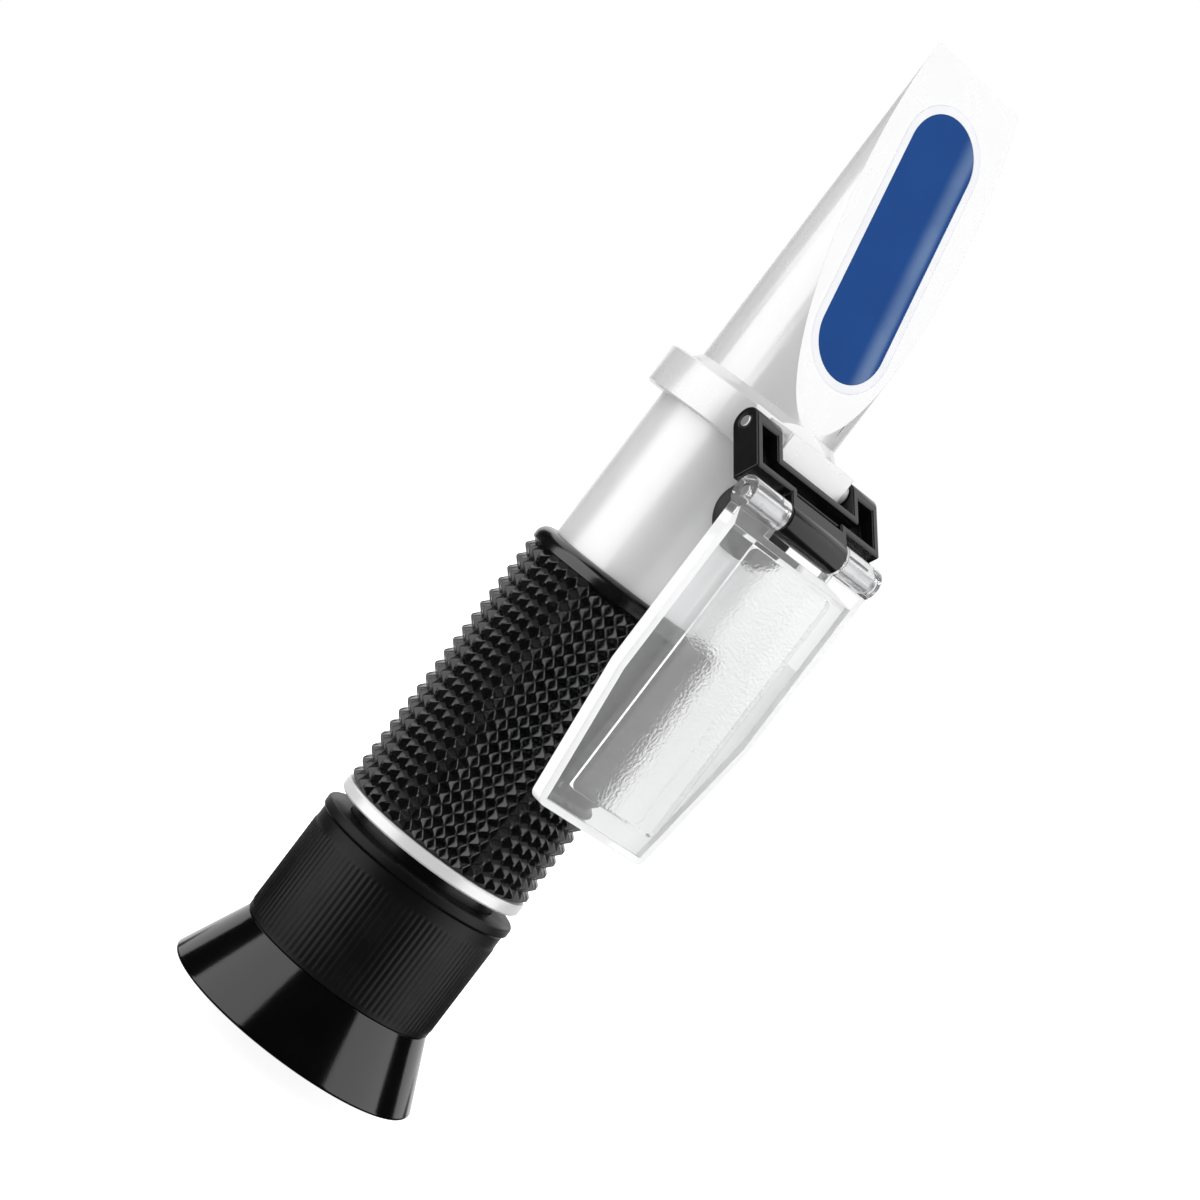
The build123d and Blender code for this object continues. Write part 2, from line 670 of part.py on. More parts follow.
def link_outline():
    """The flat front of the link, from the first pivot at the origin towards the second."""
    shoulder = LINK_REACH - LINK_SHOULDER_BACK
    end = LINK_REACH - LINK_BARREL_FLAT
    half = LINK_WIDTH / 2
    notch = LINK_NOTCH_WIDTH / 2
    barrel = LINK_BARREL_WIDTH / 2
    side = [(0, notch), (0, half), (shoulder, half), (shoulder, barrel), (end, barrel)]
    mirrored = [(x, -y) for x, y in reversed(side)]
    arms = [(LINK_NOTCH_DEPTH, -notch), (LINK_NOTCH_DEPTH, notch)]
    return make_face(Polyline(*side, *mirrored, *arms, close=True))


def hinge_link():
    """The black link: two arms on the collar's lug, a barrel for the plate, a pocket in its front."""
    half = LINK_THICK / 2
    plate = Pos(0, 0, -half) * extrude(link_outline(), amount=LINK_THICK)
    plate += bar_y(half, LINK_WIDTH)
    bridge_align = (Align.MAX, Align.CENTER, Align.CENTER)
    bridge = Box(LINK_BARREL_FLAT, LINK_BARREL_WIDTH, LINK_THICK, align=bridge_align)
    plate += Pos(LINK_REACH, 0, 0) * (bridge + bar_y(LINK_BARREL_R, LINK_BARREL_WIDTH))
    notch = Box(2 * LINK_NOTCH_DEPTH, LINK_NOTCH_WIDTH, 2 * LINK_THICK)
    plate -= notch
    pocket = offset(link_outline(), -LINK_POCKET_RIM, kind=Kind.INTERSECTION)
    plate -= Pos(0, 0, half) * extrude(pocket, amount=-LINK_POCKET_DEPTH)
    plate -= bar_y(PIN_R + RUNNING, 2 * LINK_WIDTH)
    plate -= Pos(LINK_REACH, 0, 0) * bar_y(PIN_R + SEAT, 2 * LINK_WIDTH)
    return swing(PIVOT_X, PIVOT_Z, LINK_REST_ANGLE) * plate


def cover_pin():
    """The steel pin through the link's barrel, on which the daylight plate turns."""
    x, z = second_pivot()
    return Pos(x, 0, z) * bar_y(PIN_R, PLATE_WIDTH - 2 * FACE_GAP)


def plate_outline(length, straight, start, width, tip_width):
    """The daylight plate seen from the front: straight sides, then a taper to the free end."""
    side = [(start, width / 2), (straight, width / 2), (length, tip_width / 2)]
    mirrored = [(x, -y) for x, y in reversed(side)]
    return make_face(Polyline(*side, *mirrored, close=True))


def daylight_plate():
    """The clear plate: a rim round a thin floor, a frosted pad for the prism and two knuckles."""
    blank = plate_outline(PLATE_LENGTH, PLATE_STRAIGHT, 0, PLATE_WIDTH, PLATE_TIP_WIDTH)
    plate = Pos(0, 0, PLATE_BACK) * extrude(blank, amount=PLATE_RIM - PLATE_BACK)
    corners = plate.edges().filter_by(Axis.Z).sort_by(Axis.X)[-2:]
    plate = fillet(corners, PLATE_CORNER_R)
    notch_width = LINK_BARREL_WIDTH + 2 * KNUCKLE_NOTCH_GAP
    inner = plate_outline(
        PLATE_LENGTH - PLATE_RIM_WIDTH,
        PLATE_STRAIGHT,
        KNUCKLE_NOTCH + PLATE_RIM_WIDTH,
        PLATE_WIDTH - 2 * PLATE_RIM_WIDTH,
        PLATE_TIP_WIDTH - 2 * PLATE_RIM_WIDTH,
    )
    plate -= Pos(0, 0, PLATE_FLOOR) * extrude(inner, amount=PLATE_RIM)
    pad = Box(PAD_LENGTH, PAD_WIDTH, PAD_TOP - PLATE_FLOOR, align=(Align.MIN, Align.CENTER, Align.MIN))
    pad = fillet(pad.edges().filter_by(Axis.Z), PAD_CORNER_R)
    plate += Pos(PAD_START, 0, PLATE_FLOOR) * pad
    plate += bar_y(KNUCKLE_R, PLATE_WIDTH)
    plate -= Box(2 * KNUCKLE_NOTCH, notch_width, 4 * KNUCKLE_R)
    plate -= bar_y(PIN_R + RUNNING, 2 * PLATE_WIDTH)
    x, z = second_pivot()
    return swing(x, z, PLATE_REST_ANGLE) * plate


# Pieces of the eyepiece


def eyepiece_cell():
    """The keyed tube that holds the eyepiece lenses and slides in the rear barrel."""
    outer = REAR_BORE_R - RUNNING
    end = CELL_Z + CELL_LENGTH
    cell = turned(
        (CELL_WINDOW_R, CELL_Z),
        (CELL_FLANGE_R, CELL_Z),
        (CELL_FLANGE_R, CELL_Z + CELL_FLANGE_LENGTH),
        (outer, CELL_Z + CELL_FLANGE_LENGTH),
        (outer, end),
        (CELL_BORE_R, end),
        (CELL_BORE_R, LENS_Z),
        (CELL_WINDOW_R, LENS_Z),
    )
    width = 2 * (GUIDE_PIN_R + RUNNING)
    low = GUIDE_PIN_Z - GUIDE_PIN_R - LOOSE
    high = GUIDE_PIN_Z + FOCUS_TRAVEL + GUIDE_PIN_R + LOOSE
    slot = Box(TUBE_R, width, high - low, align=(Align.MAX, Align.CENTER, Align.MIN))
    return cell - Pos(-(GUIDE_PIN_TIP - LOOSE), 0, low) * slot


def eye_lens():
    """The lens next to the eye."""
    return lens(CELL_BORE_R - SEAT, EYE_LENS_EDGE, EYE_LENS_CROWN, LENS_Z)


def lens_spacer():
    """The tube that holds the two eyepiece lenses apart."""
    outer = CELL_BORE_R - SEAT
    return ring(outer - LENS_LAND + SEAT, outer, SPACER_Z, FIELD_LENS_Z)


def field_lens():
    """The lens next to the scale glass."""
    return lens(CELL_BORE_R - SEAT, FIELD_LENS_EDGE, FIELD_LENS_CROWN, FIELD_LENS_Z, upwards=False)


def lens_retaining_ring():
    """The ring that closes the stack of eyepiece lenses."""
    outer = CELL_BORE_R - SEAT
    return ring(outer - LENS_LAND, outer, LENS_RING_Z, LENS_RING_Z + LENS_RING_LENGTH)


def focus_ring():
    """The ribbed ring that the user turns, with the seat for the eyecup and the cell's groove."""
    groove_r = REAR_R + RUNNING + CLIP_DEPTH / 2
    lip = FOCUS_RING_END - RING_LIP_LENGTH
    return turned(
        (RING_WINDOW_R, EYECUP_FLOOR_Z),
        (RING_NOSE_R, EYECUP_FLOOR_Z),
        (RING_NOSE_R, EYECUP_LENGTH),
        (RING_BODY_R, EYECUP_LENGTH),
        (RING_BODY_R, EYECUP_LENGTH + RING_REAR_BAND),
        (RING_R, EYECUP_LENGTH + RING_REAR_BAND + RING_LIP_EDGE),
        (RING_R, FOCUS_RING_END - RING_FRONT_BAND),
        (RING_BODY_R, FOCUS_RING_END - RING_FRONT_BAND + RING_LIP_EDGE),
        (RING_BODY_R, lip),
        (RING_LIP_R, lip + RING_LIP_EDGE),
        (RING_LIP_R, FOCUS_RING_END - RING_LIP_EDGE),
        (RING_BODY_R, FOCUS_RING_END),
        (REAR_R + FACE_GAP, FOCUS_RING_END),
        (REAR_R + FACE_GAP, CLIP_Z + CLIP_LENGTH + RUNNING),
        (groove_r + SEAT, CLIP_Z + CLIP_LENGTH + RUNNING),
        (groove_r + SEAT, CLIP_Z - RUNNING),
        (CELL_FLANGE_R + FACE_GAP, CLIP_Z - RUNNING),
        (CELL_FLANGE_R + FACE_GAP, CELL_Z - FACE_GAP),
        (RING_WINDOW_R, CELL_Z - FACE_GAP),
    )


def cell_clip():
    """The snap ring that keeps the cell's flange in the focus ring."""
    outer = REAR_R + RUNNING + CLIP_DEPTH / 2
    clip = ring(outer - CLIP_WIDTH, outer, CLIP_Z, CLIP_Z + CLIP_LENGTH)
    return clip - Pos(outer, 0, CLIP_Z) * Box(2 * CLIP_WIDTH + outer / 2, CLIP_GAP, 4 * CLIP_LENGTH)


def eyecup():
    """The flared rubber eyecup, pressed on the focus ring's nose."""
    slope = (EYECUP_RIM_R - EYECUP_NECK_R) / EYECUP_LENGTH
    floor_r = EYECUP_RIM_R - EYECUP_RIM_WIDTH - slope * EYECUP_FLOOR_Z
    cup = turned(
        (EYECUP_RIM_R - EYECUP_RIM_WIDTH, 0),
        (EYECUP_RIM_R, 0),
        (EYECUP_NECK_R, EYECUP_LENGTH - SEAT),
        (RING_NOSE_R + SEAT, EYECUP_LENGTH - SEAT),
        (RING_NOSE_R + SEAT, EYECUP_FLOOR_Z),
        (floor_r, EYECUP_FLOOR_Z),
    )
    rim = cup.faces().sort_by(Axis.Z)[0]
    return fillet(rim.edges(), EYECUP_RIM_EDGE)


def head_o_ring_z():
    """The height of the O-ring on the head's spigot."""
    return COLLAR_END - HEAD_O_RING_BACK - O_RING_GROOVE


def reticle_screw_angles():
    """The directions of the grub screws round the scale's holder."""
    return [60 + 360 * i / RETICLE_SCREWS for i in range(RETICLE_SCREWS)]


def reticle_screw_z():
    """The height of those grub screws."""
    return RETICLE_Z + RETICLE_HOLDER_LENGTH / 2


def screw_head_x():
    """Where the calibration screw's head starts, so that it stays in its counterbore."""
    return BUSH_TOP_X - CARRIAGE_TRAVEL - SCREW_HEAD_LENGTH


PIECES = (
    body_tube,
    grip_sleeve,
    hinge_collar,
    prism_head,
    measuring_prism,
    prism_seal,
    aperture_stop,
    head_o_ring,
    focus_o_ring,
    light_baffle,
    reticle_holder,
    reticle,
    reticle_retaining_ring,
    reticle_set_screws,
    collar_set_screws,
    guide_pin,
    lug_pin,
    carriage_guide,
    carriage_spring,
    calibration_bush,
    carriage_frame,
    bimetal_strip,
    objective_cell,
    objective_lens,
    objective_retaining_ring,
    calibration_screw,
    calibration_cap,
    hinge_link,
    cover_pin,
    daylight_plate,
    eyepiece_cell,
    eye_lens,
    lens_spacer,
    field_lens,
    lens_retaining_ring,
    focus_ring,
    cell_clip,
    eyecup,
)

os.makedirs("parts", exist_ok=True)
for piece in PIECES:
    export_step(piece(), f"parts/{piece.__name__}.step")

link_range, plate_range = hinge_ranges()
pivot_x, pivot_z = second_pivot()
print("first pivot", PIVOT_X, round(PIVOT_Z, 3), "second pivot", round(pivot_x, 3), round(pivot_z, 3))
print("link closes by", round(link_range, 2), "and the plate on it by", round(plate_range, 2))
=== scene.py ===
"""Looks of the handheld antifreeze refractometer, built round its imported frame.

The frame's solids keep their shape and get softened edges and procedural finishes. The studded
sleeve, the ribbed focus ring, the rubber eyecup and the clear plate are meshes of their own here,
which take their solids' places. Sizes are millimetres in the pieces and metres in the studio.
"""

import logging
import math
from collections.abc import Callable, Sequence
from dataclasses import dataclass
from enum import Enum

import bmesh
import bpy
import numpy as np
from mathutils import Matrix, Vector

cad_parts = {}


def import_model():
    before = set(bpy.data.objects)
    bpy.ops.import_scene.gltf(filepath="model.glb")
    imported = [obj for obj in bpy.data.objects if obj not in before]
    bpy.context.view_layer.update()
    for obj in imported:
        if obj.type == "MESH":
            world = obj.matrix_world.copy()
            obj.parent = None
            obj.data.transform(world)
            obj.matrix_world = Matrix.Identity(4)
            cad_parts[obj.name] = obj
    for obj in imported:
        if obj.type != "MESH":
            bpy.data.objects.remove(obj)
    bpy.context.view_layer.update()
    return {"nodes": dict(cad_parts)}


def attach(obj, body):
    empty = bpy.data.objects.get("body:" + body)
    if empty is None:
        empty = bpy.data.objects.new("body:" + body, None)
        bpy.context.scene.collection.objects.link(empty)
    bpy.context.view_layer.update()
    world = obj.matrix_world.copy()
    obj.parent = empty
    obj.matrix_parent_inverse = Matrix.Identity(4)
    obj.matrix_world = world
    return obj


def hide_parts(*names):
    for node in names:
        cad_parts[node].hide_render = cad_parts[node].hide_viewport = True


MM = 0.001
Colour = tuple[float, float, float]
Point = tuple[float, float, float]
Span = tuple[float, float]
Relief = Callable[[np.ndarray], np.ndarray]
Sockets = dict[str | int, object]
Node = bpy.types.Node
Socket = bpy.types.NodeSocket
Material = bpy.types.Material
Piece = bpy.types.Object
Face = bmesh.types.BMFace
Shape = bmesh.types.BMesh

# Degrees over which an edge is crisp, degrees under which faces are one flat, and millimetres
# under which corners are one. FACING is the share of a normal that makes a face look that way.
CRISP_ANGLE = 32.0
FLAT_ANGLE = 0.4
WELD_GAP = 0.0005
FACING = 0.9
DUST_COLOUR = (0.5, 0.49, 0.47)
BLACKENED = (0.006, 0.006, 0.0065)

log = logging.getLogger("refractometer")


class Lay(Enum):
    """How the fine lines of a machined or moulded surface run."""

    NONE = "none"
    TURNED = "turned"
    DRAWN = "drawn"


@dataclass(frozen=True)
class Corner:
    """One corner of a turned outline.

    Args:
        r: Distance from the optical axis, in millimetres.
        z: Height along the axis, in millimetres.
        round: Radius of the corner, in millimetres.
        relief: How strongly a relief pattern lifts the surface there, from 0 to 1.
    """

    r: float
    z: float
    round: float = 0.0
    relief: float = 0.0


class NodeBoard:
    """A short way to place and link nodes in one node tree."""

    def __init__(self, tree: bpy.types.NodeTree) -> None:
        """Keeps the tree.

        Args:
            tree: The material, world or group tree to fill.
        """
        self.tree = tree

    def add(self, kind: str, inputs: Sockets | None = None, **settings: object) -> Node:
        """Adds a node.

        Args:
            kind: The node's Blender type name, without the ShaderNode before it.
            inputs: Values or source sockets by input name or number.
            settings: Attributes of the node.

        Returns:
            The new node.
        """
        node = self.tree.nodes.new("ShaderNode" + kind)
        for key, value in settings.items():
            setattr(node, key, value)
        self.feed(node, inputs or {})
        return node

    def feed(self, node: Node, inputs: Sockets) -> None:
        """Sets or links inputs of a node.

        Args:
            node: The node.
            inputs: Values or source sockets by input name or number.
        """
        for key, value in inputs.items():
            if isinstance(value, Socket):
                self.tree.links.new(value, node.inputs[key])
            else:
                node.inputs[key].default_value = value

    def group(self, name: str, **values: float) -> bpy.types.NodeOutputs:
        """Places a shared group.

        Args:
            name: The group's name.
            values: Input values by input name.

        Returns:
            The group's outputs.
        """
        return self.add("Group", values, node_tree=bpy.data.node_groups[name]).outputs

    def math(self, operation: str, *values: object) -> Socket:
        """Adds a Math node.

        Args:
            operation: The operation's Blender name.
            values: Numbers or source sockets.

        Returns:
            The result's socket.
        """
        return self.add("Math", dict(enumerate(values)), operation=operation).outputs[0]

    def ramp(
        self, value: object, low: float, high: float, start: float = 0.0, end: float = 1.0
    ) -> Socket:
        """Maps a value smoothly from one range to another.

        Args:
            value: The source socket.
            low: Where the source range starts.
            high: Where the source range ends.
            start: The result at the start.
            end: The result at the end.

        Returns:
            The result's socket.
        """
        inputs = {"Value": value, "From Min": low, "From Max": high, "To Min": start, "To Max": end}
        node = self.add("MapRange", inputs, interpolation_type="SMOOTHSTEP")
        return node.outputs["Result"]

    def mix(self, factor: object, first: object, second: object) -> Socket:
        """Mixes two numbers.

        Args:
            factor: Share of the second number.
            first: A number or source socket.
            second: A number or source socket.

        Returns:
            The mixed number's socket.
        """
        inputs = {"Factor": factor, "A": first, "B": second}
        return self.add("Mix", inputs).outputs["Result"]

    def blend(self, factor: object, first: object, second: object) -> Socket:
        """Mixes two colours.

        Args:
            factor: Share of the second colour.
            first: A colour or source socket.
            second: A colour or source socket.

        Returns:
            The mixed colour's socket.
        """
        node = self.add("Mix", {0: factor, 6: first, 7: second}, data_type="RGBA")
        return node.outputs[2]

    def bump(self, height: object, depth: float, normal: object = None) -> Socket:
        """Adds a bump from a height socket.

        Args:
            height: Height from 0 to 1.
            depth: Depth of the relief, in millimetres.
            normal: A normal to start from, or nothing.

        Returns:
            The bumped normal's socket.
        """
        inputs: Sockets = {"Height": height, "Distance": depth * MM, "Strength": 1.0}
        if normal is not None:
            inputs["Normal"] = normal
        return self.add("Bump", inputs).outputs["Normal"]

    def place(self) -> Socket:
        """Returns the socket of the object's own coordinates."""
        return self.add("TexCoord").outputs["Object"]

    def parts(self, vector: object) -> list[Socket]:
        """Splits a vector.

        Args:
            vector: The vector's socket.

        Returns:
            The sockets of X, Y and Z.
        """
        return list(self.add("SeparateXYZ", {0: vector}).outputs)

    def noise(self, size: object, detail: float) -> Socket:
        """Adds a noise over the object's own coordinates.

        Args:
            size: Size of its features, in millimetres.
            detail: Its octaves.

        Returns:
            The noise's socket.
        """
        scale = self.math("DIVIDE", 1.0 / MM, size)
        inputs = {"Vector": self.place(), "Scale": scale, "Detail": detail}
        return self.add("TexNoise", inputs).outputs["Fac"]


def rgba(colour: Colour, share: float = 1.0) -> tuple[float, float, float, float]:
    """Scales a colour and gives it full alpha.

    Args:
        colour: The colour.
        share: What it is multiplied by.

    Returns:
        The colour, with no channel over 1.
    """
    return (*(min(1.0, c * share) for c in colour), 1.0)


def linked(name: str, data: bpy.types.ID) -> Piece:
    """Makes an object and puts it in the scene.

    Args:
        name: The object's name.
        data: Its mesh, light or camera.

    Returns:
        The object.
    """
    item = bpy.data.objects.new(name, data)
    bpy.context.scene.collection.objects.link(item)
    return item


class EffectGroups:
    """The shader groups that several finishes share, each built once."""

    GRAIN = "surface_grain"
    LINES = "machined_lines"
    EDGE = "edge_polish"
    DUST = "settled_dust"
    LINE_REACH = 12.0 * MM
    LINE_SKEW = 0.02
    DUST_GATE = 0.86

    def __init__(self) -> None:
        """Builds every group."""
        self._grain()
        self._lines()
        self._edge()
        self._dust()

    @staticmethod
    def _new(
        name: str, inputs: dict[str, float], outputs: Sequence[str]
    ) -> tuple[NodeBoard, bpy.types.NodeOutputs, Node]:
        """Starts a group.

        Args:
            name: The group's name.
            inputs: Default values of its inputs by name.
            outputs: Names of its outputs.

        Returns:
            The new group's board, the sockets of its inputs, and the node of its outputs.
        """
        tree = bpy.data.node_groups.new(name, "ShaderNodeTree")
        for label, value in inputs.items():
            socket = tree.interface.new_socket(label, in_out="INPUT", socket_type="NodeSocketFloat")
            socket.default_value = value
        for label in outputs:
            tree.interface.new_socket(label, in_out="OUTPUT", socket_type="NodeSocketFloat")
        source, result = tree.nodes.new("NodeGroupInput"), tree.nodes.new("NodeGroupOutput")
        return NodeBoard(tree), source.outputs, result

    def _grain(self) -> None:
        """Builds the grain of blasted metal or moulded rubber, a coarse cloud and fine pits."""
        defaults = {"Size": 0.15, "Cloud": 6.0}
        board, source, result = self._new(self.GRAIN, defaults, ["Cloud", "Pits"])
        cloud = board.ramp(board.noise(source["Cloud"], 4.0), 0.3, 0.7)
        pits = board.ramp(board.noise(source["Size"], 3.0), 0.25, 0.75)
        board.feed(result, {"Cloud": cloud, "Pits": pits})

    def _lines(self) -> None:
        """Builds fine lines, round the axis for turned metal or along it for drawn tube."""
        defaults = {"Pitch": 0.12, "Along": 0.0}
        board, source, result = self._new(self.LINES, defaults, ["Lines"])
        x, y, z = board.parts(board.place())
        reach = board.math("MULTIPLY", board.math("ARCTAN2", y, x), self.LINE_REACH)
        rings = board.math("ADD", z, board.math("MULTIPLY", reach, self.LINE_SKEW))
        grooves = board.math("ADD", reach, board.math("MULTIPLY", z, self.LINE_SKEW))
        track = board.mix(source["Along"], rings, grooves)
        scale = board.math("DIVIDE", 1.0 / MM, source["Pitch"])
        inputs: Sockets = {"W": track, "Scale": scale, "Detail": 3.0}
        noise = board.add("TexNoise", inputs, noise_dimensions="1D")
        board.feed(result, {"Lines": board.ramp(noise.outputs["Fac"], 0.2, 0.8)})

    def _edge(self) -> None:
        """Builds the mask of edges that hands have polished, broken up by a cloud."""
        defaults = {"Radius": 0.25, "Breakup": 2.5}
        board, source, result = self._new(self.EDGE, defaults, ["Edge"])
        radius = board.math("MULTIPLY", source["Radius"], MM)
        soft = board.add("Bevel", {"Radius": radius}, samples=4)
        true = board.add("NewGeometry")
        sides = {0: soft.outputs["Normal"], 1: true.outputs["Normal"]}
        agreement = board.add("VectorMath", sides, operation="DOT_PRODUCT")
        rim = board.ramp(agreement.outputs["Value"], 0.995, 0.9)
        patches = board.ramp(board.noise(source["Breakup"], 5.0), 0.35, 0.65)
        board.feed(result, {"Edge": board.math("MULTIPLY", rim, patches)})

    def _dust(self) -> None:
        """Builds the mask of sparse specks that settle on faces that look up."""
        defaults = {"Size": 0.3, "Cover": 0.1}
        board, source, result = self._new(self.DUST, defaults, ["Dust"])
        gate = board.math("SUBTRACT", self.DUST_GATE, source["Cover"])
        over = board.math("SUBTRACT", board.noise(source["Size"], 2.0), gate)
        mask = board.ramp(over, 0.0, 0.06)
        _, _, up = board.parts(board.add("NewGeometry").outputs["Normal"])
        facing = board.ramp(up, -0.3, 0.6, 0.25, 1.0)
        board.feed(result, {"Dust": board.math("MULTIPLY", mask, facing)})


def new_material(name: str) -> tuple[Material, NodeBoard, Node]:
    """Starts a material.

    Args:
        name: The material's name.

    Returns:
        The material, its board and its Principled shader.
    """
    material = bpy.data.materials.new(name)
    material.use_nodes = True
    shader = material.node_tree.nodes["Principled BSDF"]
    return material, NodeBoard(material.node_tree), shader


@dataclass(frozen=True)
class Finish:
    """A solid finish: metal, rubber, moulded plastic or cement, with grain, lines, edges and dust.

    Args:
        name: The finish's name.
        colour: The main colour.
        metallic: Share of the surface that shines as metal.
        roughness: Middle roughness.
        spread: How much the roughness varies over the surface.
        tone: How much the colour varies over the surface.
        specular: Strength of the plain reflection.
        coat: Weight of a clear skin.
        coat_roughness: Roughness of that skin.
        grain: Size of the pits, in millimetres.
        depth: Depth of the pits, in millimetres.
        lay: Which way machined lines run.
        line_depth: Depth of those lines, in millimetres.
        edge_colour: Colour of polished edges.
        edge: Strength of polished edges.
        dust: Strength of dust.
        black_below: Height in millimetres under which the surface is blackened, or 0.
    """

    name: str
    colour: Colour
    metallic: float = 0.0
    roughness: float = 0.4
    spread: float = 0.05
    tone: float = 0.08
    specular: float = 0.5
    coat: float = 0.0
    coat_roughness: float = 0.1
    grain: float = 0.1
    depth: float = 0.002
    lay: Lay = Lay.NONE
    line_depth: float = 0.002
    edge_colour: Colour = (0.8, 0.8, 0.8)
    edge: float = 0.0
    dust: float = 0.0
    black_below: float = 0.0

    def build(self) -> Material:
        """Builds the material.

        Returns:
            The material.
        """
        material, board, shader = new_material(self.name)
        grain = board.group(EffectGroups.GRAIN, Size=self.grain, Cloud=7.0)
        cloud, pits = grain["Cloud"], grain["Pits"]
        dark, light = rgba(self.colour, 1 - self.tone), rgba(self.colour, 1 + self.tone)
        colour = board.blend(cloud, dark, light)
        least, most = self.roughness - self.spread, self.roughness + self.spread
        roughness = board.ramp(cloud, 0, 1, least, most)
        normal = board.bump(pits, self.depth)
        if self.lay is not Lay.NONE:
            along = 1.0 if self.lay is Lay.DRAWN else 0.0
            lines = board.group(EffectGroups.LINES, Pitch=0.18, Along=along)["Lines"]
            normal = board.bump(lines, self.line_depth, normal)
        if self.edge > 0:
            rim = board.group(EffectGroups.EDGE, Radius=0.2)["Edge"]
            share = board.math("MULTIPLY", rim, self.edge)
            colour = board.blend(share, colour, rgba(self.edge_colour))
        if self.dust > 0:
            specks = board.group(EffectGroups.DUST, Size=0.35, Cover=0.12)["Dust"]
            share = board.math("MULTIPLY", specks, self.dust)
            colour = board.blend(share, colour, rgba(DUST_COLOUR))
        metallic: object = self.metallic
        if self.black_below > 0:
            _, _, height = board.parts(board.place())
            border, fade = self.black_below * MM, 0.02 * MM
            black = board.ramp(height, border + fade, border - fade)
            colour = board.blend(black, colour, rgba(BLACKENED))
            metallic = board.ramp(black, 0, 1, self.metallic, 0.2)
        values: Sockets = {
            "Base Color": colour,
            "Roughness": roughness,
            "Normal": normal,
            "Metallic": metallic,
            "Specular IOR Level": self.specular,
            "Coat Weight": self.coat,
            "Coat Roughness": self.coat_roughness,
        }
        board.feed(shader, values)
        return material


@dataclass(frozen=True)
class ClearFinish:
    """A transparent finish: glass, or one surface of the daylight plate's acrylic.

    Args:
        name: The finish's name.
        colour: The tint.
        transmission: Share of light that passes.
        roughness: Least and most roughness.
        grain: Size of the surface's ripples, in millimetres.
        depth: Depth of those ripples, in millimetres, or 0.
        ior: Refractive index.
        shade: What the tint is multiplied by in its clouds.
        cloud: Size of those clouds, in millimetres.
        coat: Weight of an antireflection skin.
    """

    name: str
    colour: Colour
    transmission: float
    roughness: Span
    grain: float = 0.8
    depth: float = 0.0
    ior: float = 1.49
    shade: float = 1.02
    cloud: float = 5.0
    coat: float = 0.0

    def build(self) -> Material:
        """Builds the material.

        Returns:
            The material.
        """
        material, board, shader = new_material(self.name)
        grain = board.group(EffectGroups.GRAIN, Size=self.grain, Cloud=self.cloud)
        cloud = grain["Cloud"]
        values: Sockets = {
            "Base Color": board.blend(cloud, rgba(self.colour), rgba(self.colour, self.shade)),
            "Roughness": board.ramp(cloud, 0, 1, *self.roughness),
            "Transmission Weight": self.transmission,
            "IOR": self.ior,
            "Coat Weight": self.coat,
            "Metallic": 0.0,
        }
        if self.depth > 0:
            values["Normal"] = board.bump(grain["Pits"], self.depth)
        board.feed(shader, values)
        return material


@dataclass(frozen=True)
class PrismFinish:
    """The prism's deep blue glass, with a painted reflection: a lighter blue band along one long
    side.

    Args:
        name: The finish's name.
        colour: The blue of the body.
        painted_reflection: The lighter blue painted along one long side, a painted reflection.
        half_width: Half the prism's width, in millimetres.
        rise: Where the painted band begins and is full, as shares of the half width.
        fall: Where it ends and is still full.
    """

    name: str = "blue_prism_glass"
    colour: Colour = (0.0105, 0.056, 0.218)
    painted_reflection: Colour = (0.118, 0.19, 0.355)
    half_width: float = 6.15
    rise: Span = (0.35, 0.74)
    fall: Span = (0.96, 0.8)

    def build(self) -> Material:
        """Builds the material.

        Returns:
            The material.
        """
        material, board, shader = new_material(self.name)
        # Painted reflection: a lighter blue band painted by place across the prism's width, not lit
        # by any lamp.
        _, side, _ = board.parts(board.place())
        across = board.math("DIVIDE", side, self.half_width * MM)
        rise, fall = board.ramp(across, *self.rise), board.ramp(across, *self.fall)
        band = board.math("MULTIPLY", rise, fall)
        cloud = board.group(EffectGroups.GRAIN, Size=0.6, Cloud=8.0)["Cloud"]
        soft = board.math("MULTIPLY", band, board.ramp(cloud, 0, 1, 0.75, 1.0))
        body = board.blend(cloud, rgba(self.colour), rgba(self.colour, 1.07))
        values: Sockets = {
            "Base Color": board.blend(soft, body, rgba(self.painted_reflection)),
            "Roughness": board.ramp(cloud, 0, 1, 0.05, 0.09),
            "Specular IOR Level": 0.05,
            "Metallic": 0.0,
        }
        board.feed(shader, values)
        return material


AnyFinish = Finish | ClearFinish | PrismFinish


def finished_outline(corners: Sequence[Corner], steps: int = 5) -> list[Corner]:
    """Rounds the corners of a closed outline.

    Args:
        corners: The outline's corners, in order.
        steps: Points along each rounded corner.

    Returns:
        The outline with every rounded corner replaced by points on its arc.
    """
    result: list[Corner] = []
    count = len(corners)
    for i, corner in enumerate(corners):
        if corner.round <= 0:
            result.append(corner)
            continue
        here = Vector((corner.r, corner.z))
        back = Vector((corners[i - 1].r, corners[i - 1].z)) - here
        ahead = Vector((corners[(i + 1) % count].r, corners[(i + 1) % count].z)) - here
        half = back.angle(ahead) / 2
        trim = min(corner.round / math.tan(half), 0.49 * back.length, 0.49 * ahead.length)
        start, end = here + back.normalized() * trim, here + ahead.normalized() * trim
        radius = trim * math.tan(half)
        inward = (back.normalized() + ahead.normalized()).normalized()
        centre = here + inward * (radius / math.sin(half))
        first, last = start - centre, end - centre
        for k in range(steps + 1):
            arm = first.lerp(last, k / steps)
            spot = centre + arm.normalized() * radius
            result.append(Corner(spot.x, spot.y, 0, corner.relief))
    return result


